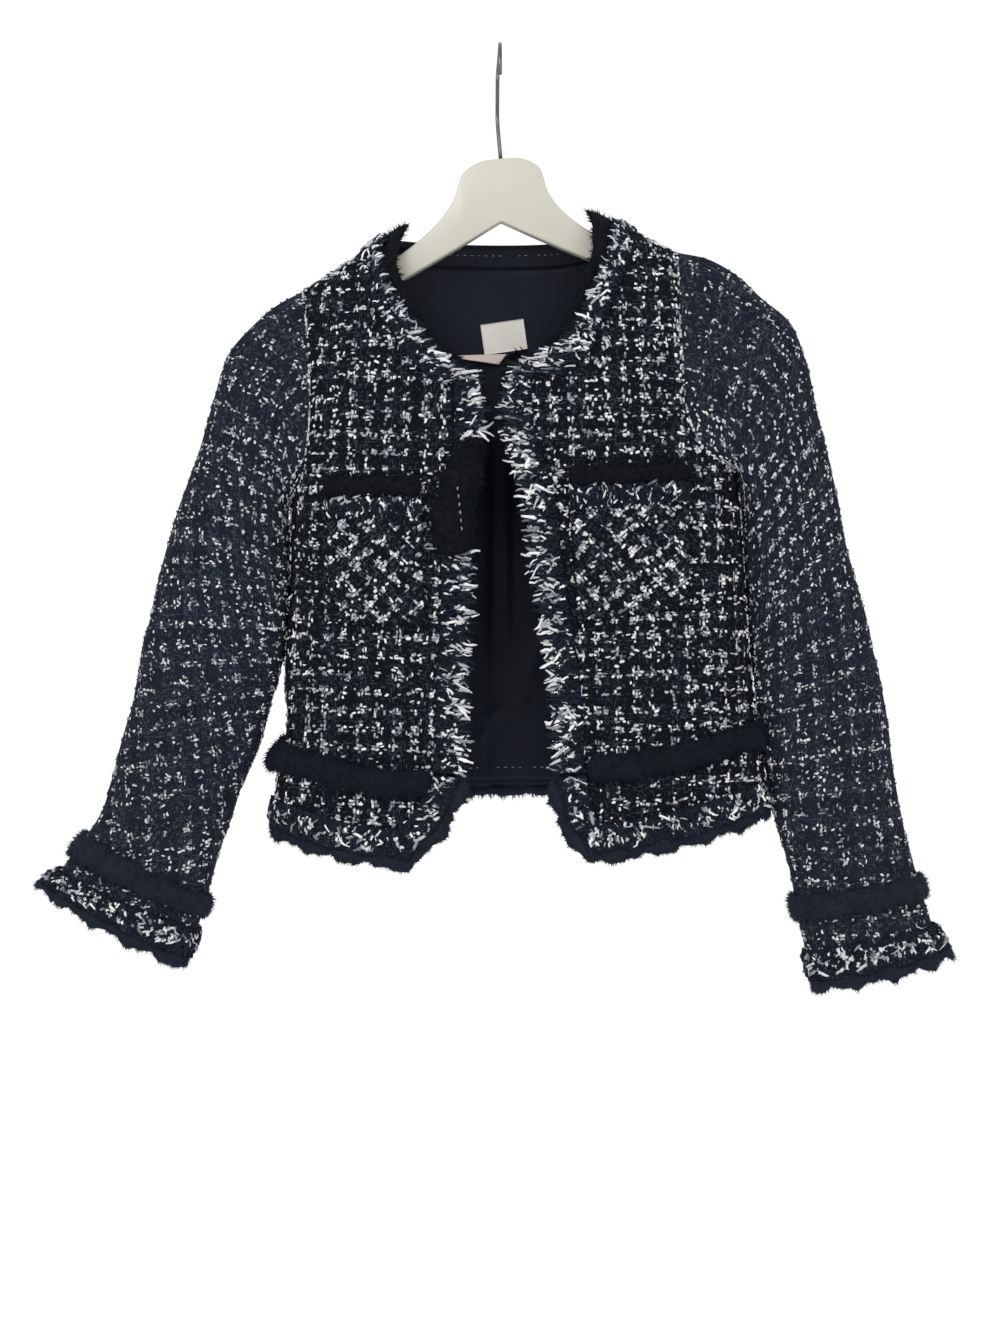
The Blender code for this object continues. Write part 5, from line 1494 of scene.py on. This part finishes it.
def add_hanger():
    half = np.concatenate([np.linspace(0, 60, 31), np.linspace(62, 196, 50), np.linspace(197, 207.8, 14)])
    top = np.vstack([Line(HANGER_TOP).points, HANGER_UNDER[0]])
    under = Line(HANGER_UNDER[::-1]).points
    under = under[np.argsort(under[:, 0], kind="stable")]
    edge = HANGER_THICK / 2 - HANGER_ROUND
    rings = []
    for x in np.concatenate([-half[:0:-1], half]):
        high, low = (np.interp(abs(x), line[:, 0], line[:, 1]) for line in (top, under))
        bend = min(HANGER_ROUND, max((high - low) / 2.2, 0.05))
        ring = []
        for sign_y, sign_z, start in ((1, 1, 0), (-1, 1, 90), (-1, -1, 180), (1, -1, 270)):
            for turn in np.radians(start + np.linspace(0, 90, 6)):
                y = sign_y * edge + HANGER_ROUND * math.cos(turn)
                z = (high if sign_z > 0 else low) + bend * (math.sin(turn) - sign_z)
                ring.append((HANGER_AT[0] + x, y, HANGER_AT[1] + z + x * HANGER_SLOPE))
        rings.append(ring)
    add_tube("hanger_wood", np.array(rings), "white_paint", "hanger")


def add_hook():
    centre = HOOK_WIRE / 2 - HOOK_RADIUS
    t = np.linspace(0, 1, 25)[1:]
    turns = np.radians(np.linspace(0, HOOK_END, 48)[1:])
    y = np.concatenate([np.zeros(8), HOOK_RADIUS * t * t * (3 - 2 * t), HOOK_RADIUS * np.cos(turns)])
    stem, lean = np.linspace(HOOK_FOOT_Z, HOOK_BEND_Z, 8), HOOK_BEND_Z + (centre - HOOK_BEND_Z) * t
    z = np.concatenate([stem, lean, centre + HOOK_RADIUS * np.sin(turns)])
    x = np.interp(z, *zip(*HOOK_SWAY))
    x[np.argmax(z) :] = 0
    x[2:-2] = np.convolve(x, np.ones(5) / 5, "same")[2:-2]
    middle = np.column_stack([x, y, z])
    ahead = unit(np.gradient(middle, axis=0))
    across = unit(RIGHT - ahead * ahead[:, :1])
    other = np.cross(ahead, across)
    rings = [middle + HOOK_WIRE / 2 * turned(across, other, turn) for turn in np.arange(16) * np.pi / 8]
    add_tube("hook_wire", np.stack(rings, 1), "steel", "hook")


# ---------------------------------------------------------------- studio


def placed(name, data, spot):
    made = bpy.data.objects.new(name, data)
    made.location = spot
    bpy.context.scene.collection.objects.link(made)
    return made


def add_stage():
    """A pale floor under a white sky, a large soft key light, a soft fill and the camera."""
    scene = bpy.context.scene
    ends = (-FLOOR_HALF, FLOOR_HALF)
    points = np.array([(x, y, FLOOR_Z) for x in ends for y in ends])
    new_object("floor", points, [np.array([[0, 2, 3, 1]])], ["floor"])
    for name, spot, size, power in LIGHTS:
        lamp = bpy.data.lights.new(name, "AREA")
        lamp.shape, lamp.size, lamp.energy = "DISK", size, power
        aim = Vector(LIGHTS_AIM) - Vector(spot)
        placed(name, lamp, spot).rotation_euler = aim.to_track_quat("-Z", "Y").to_euler()
    scene.world = bpy.data.worlds.new("studio")
    scene.world.use_nodes = True
    sky = scene.world.node_tree.nodes["Background"].inputs
    sky["Color"].default_value, sky["Strength"].default_value = (1, 1, 1, 1), WORLD_STRENGTH
    scene.view_settings.view_transform = "Standard"
    data = bpy.data.cameras.new("camera")
    data.sensor_fit, data.sensor_width, data.lens = "HORIZONTAL", CAMERA_SENSOR, CAMERA_LENS
    data.clip_end = 100
    scene.camera = placed("camera", data, CAMERA_AT)
    scene.camera.rotation_euler = (math.radians(90), 0, 0)


def declare():
    """Goes over each sheet and lists the names of the slubs, yarns and fur that lie on it; nothing is kept."""
    for part, width, length, area, held, under in SHEETS:
        side = part.rsplit("_", 1)[-1]
        extra = [f"{part}_slubs", f"{part}_yarns", *GOES_WITH.get(part, [])]
        if part.startswith("front_"):
            extra += [f"fur_{kind}_{side}_hair" for kind in ("neck", "edge", "hem", "band", "pocket", "turned")]
        if part.startswith("sleeve_"):
            extra += [f"fur_cuff_{side}_hair", f"fur_band_cuff_{side}_hair"]


def main():
    make_materials()
    for side in SIDES:
        add_front(side)
        add_sleeve(side)
        add_pocket(side)
        add_front_trim(side)
        add_cuff_trim(side)
    add_back()
    add_back_trim()
    add_turned_fur()
    add_lining()
    add_labels()
    add_hanger()
    add_hook()
    add_stage()
    declare()


main()
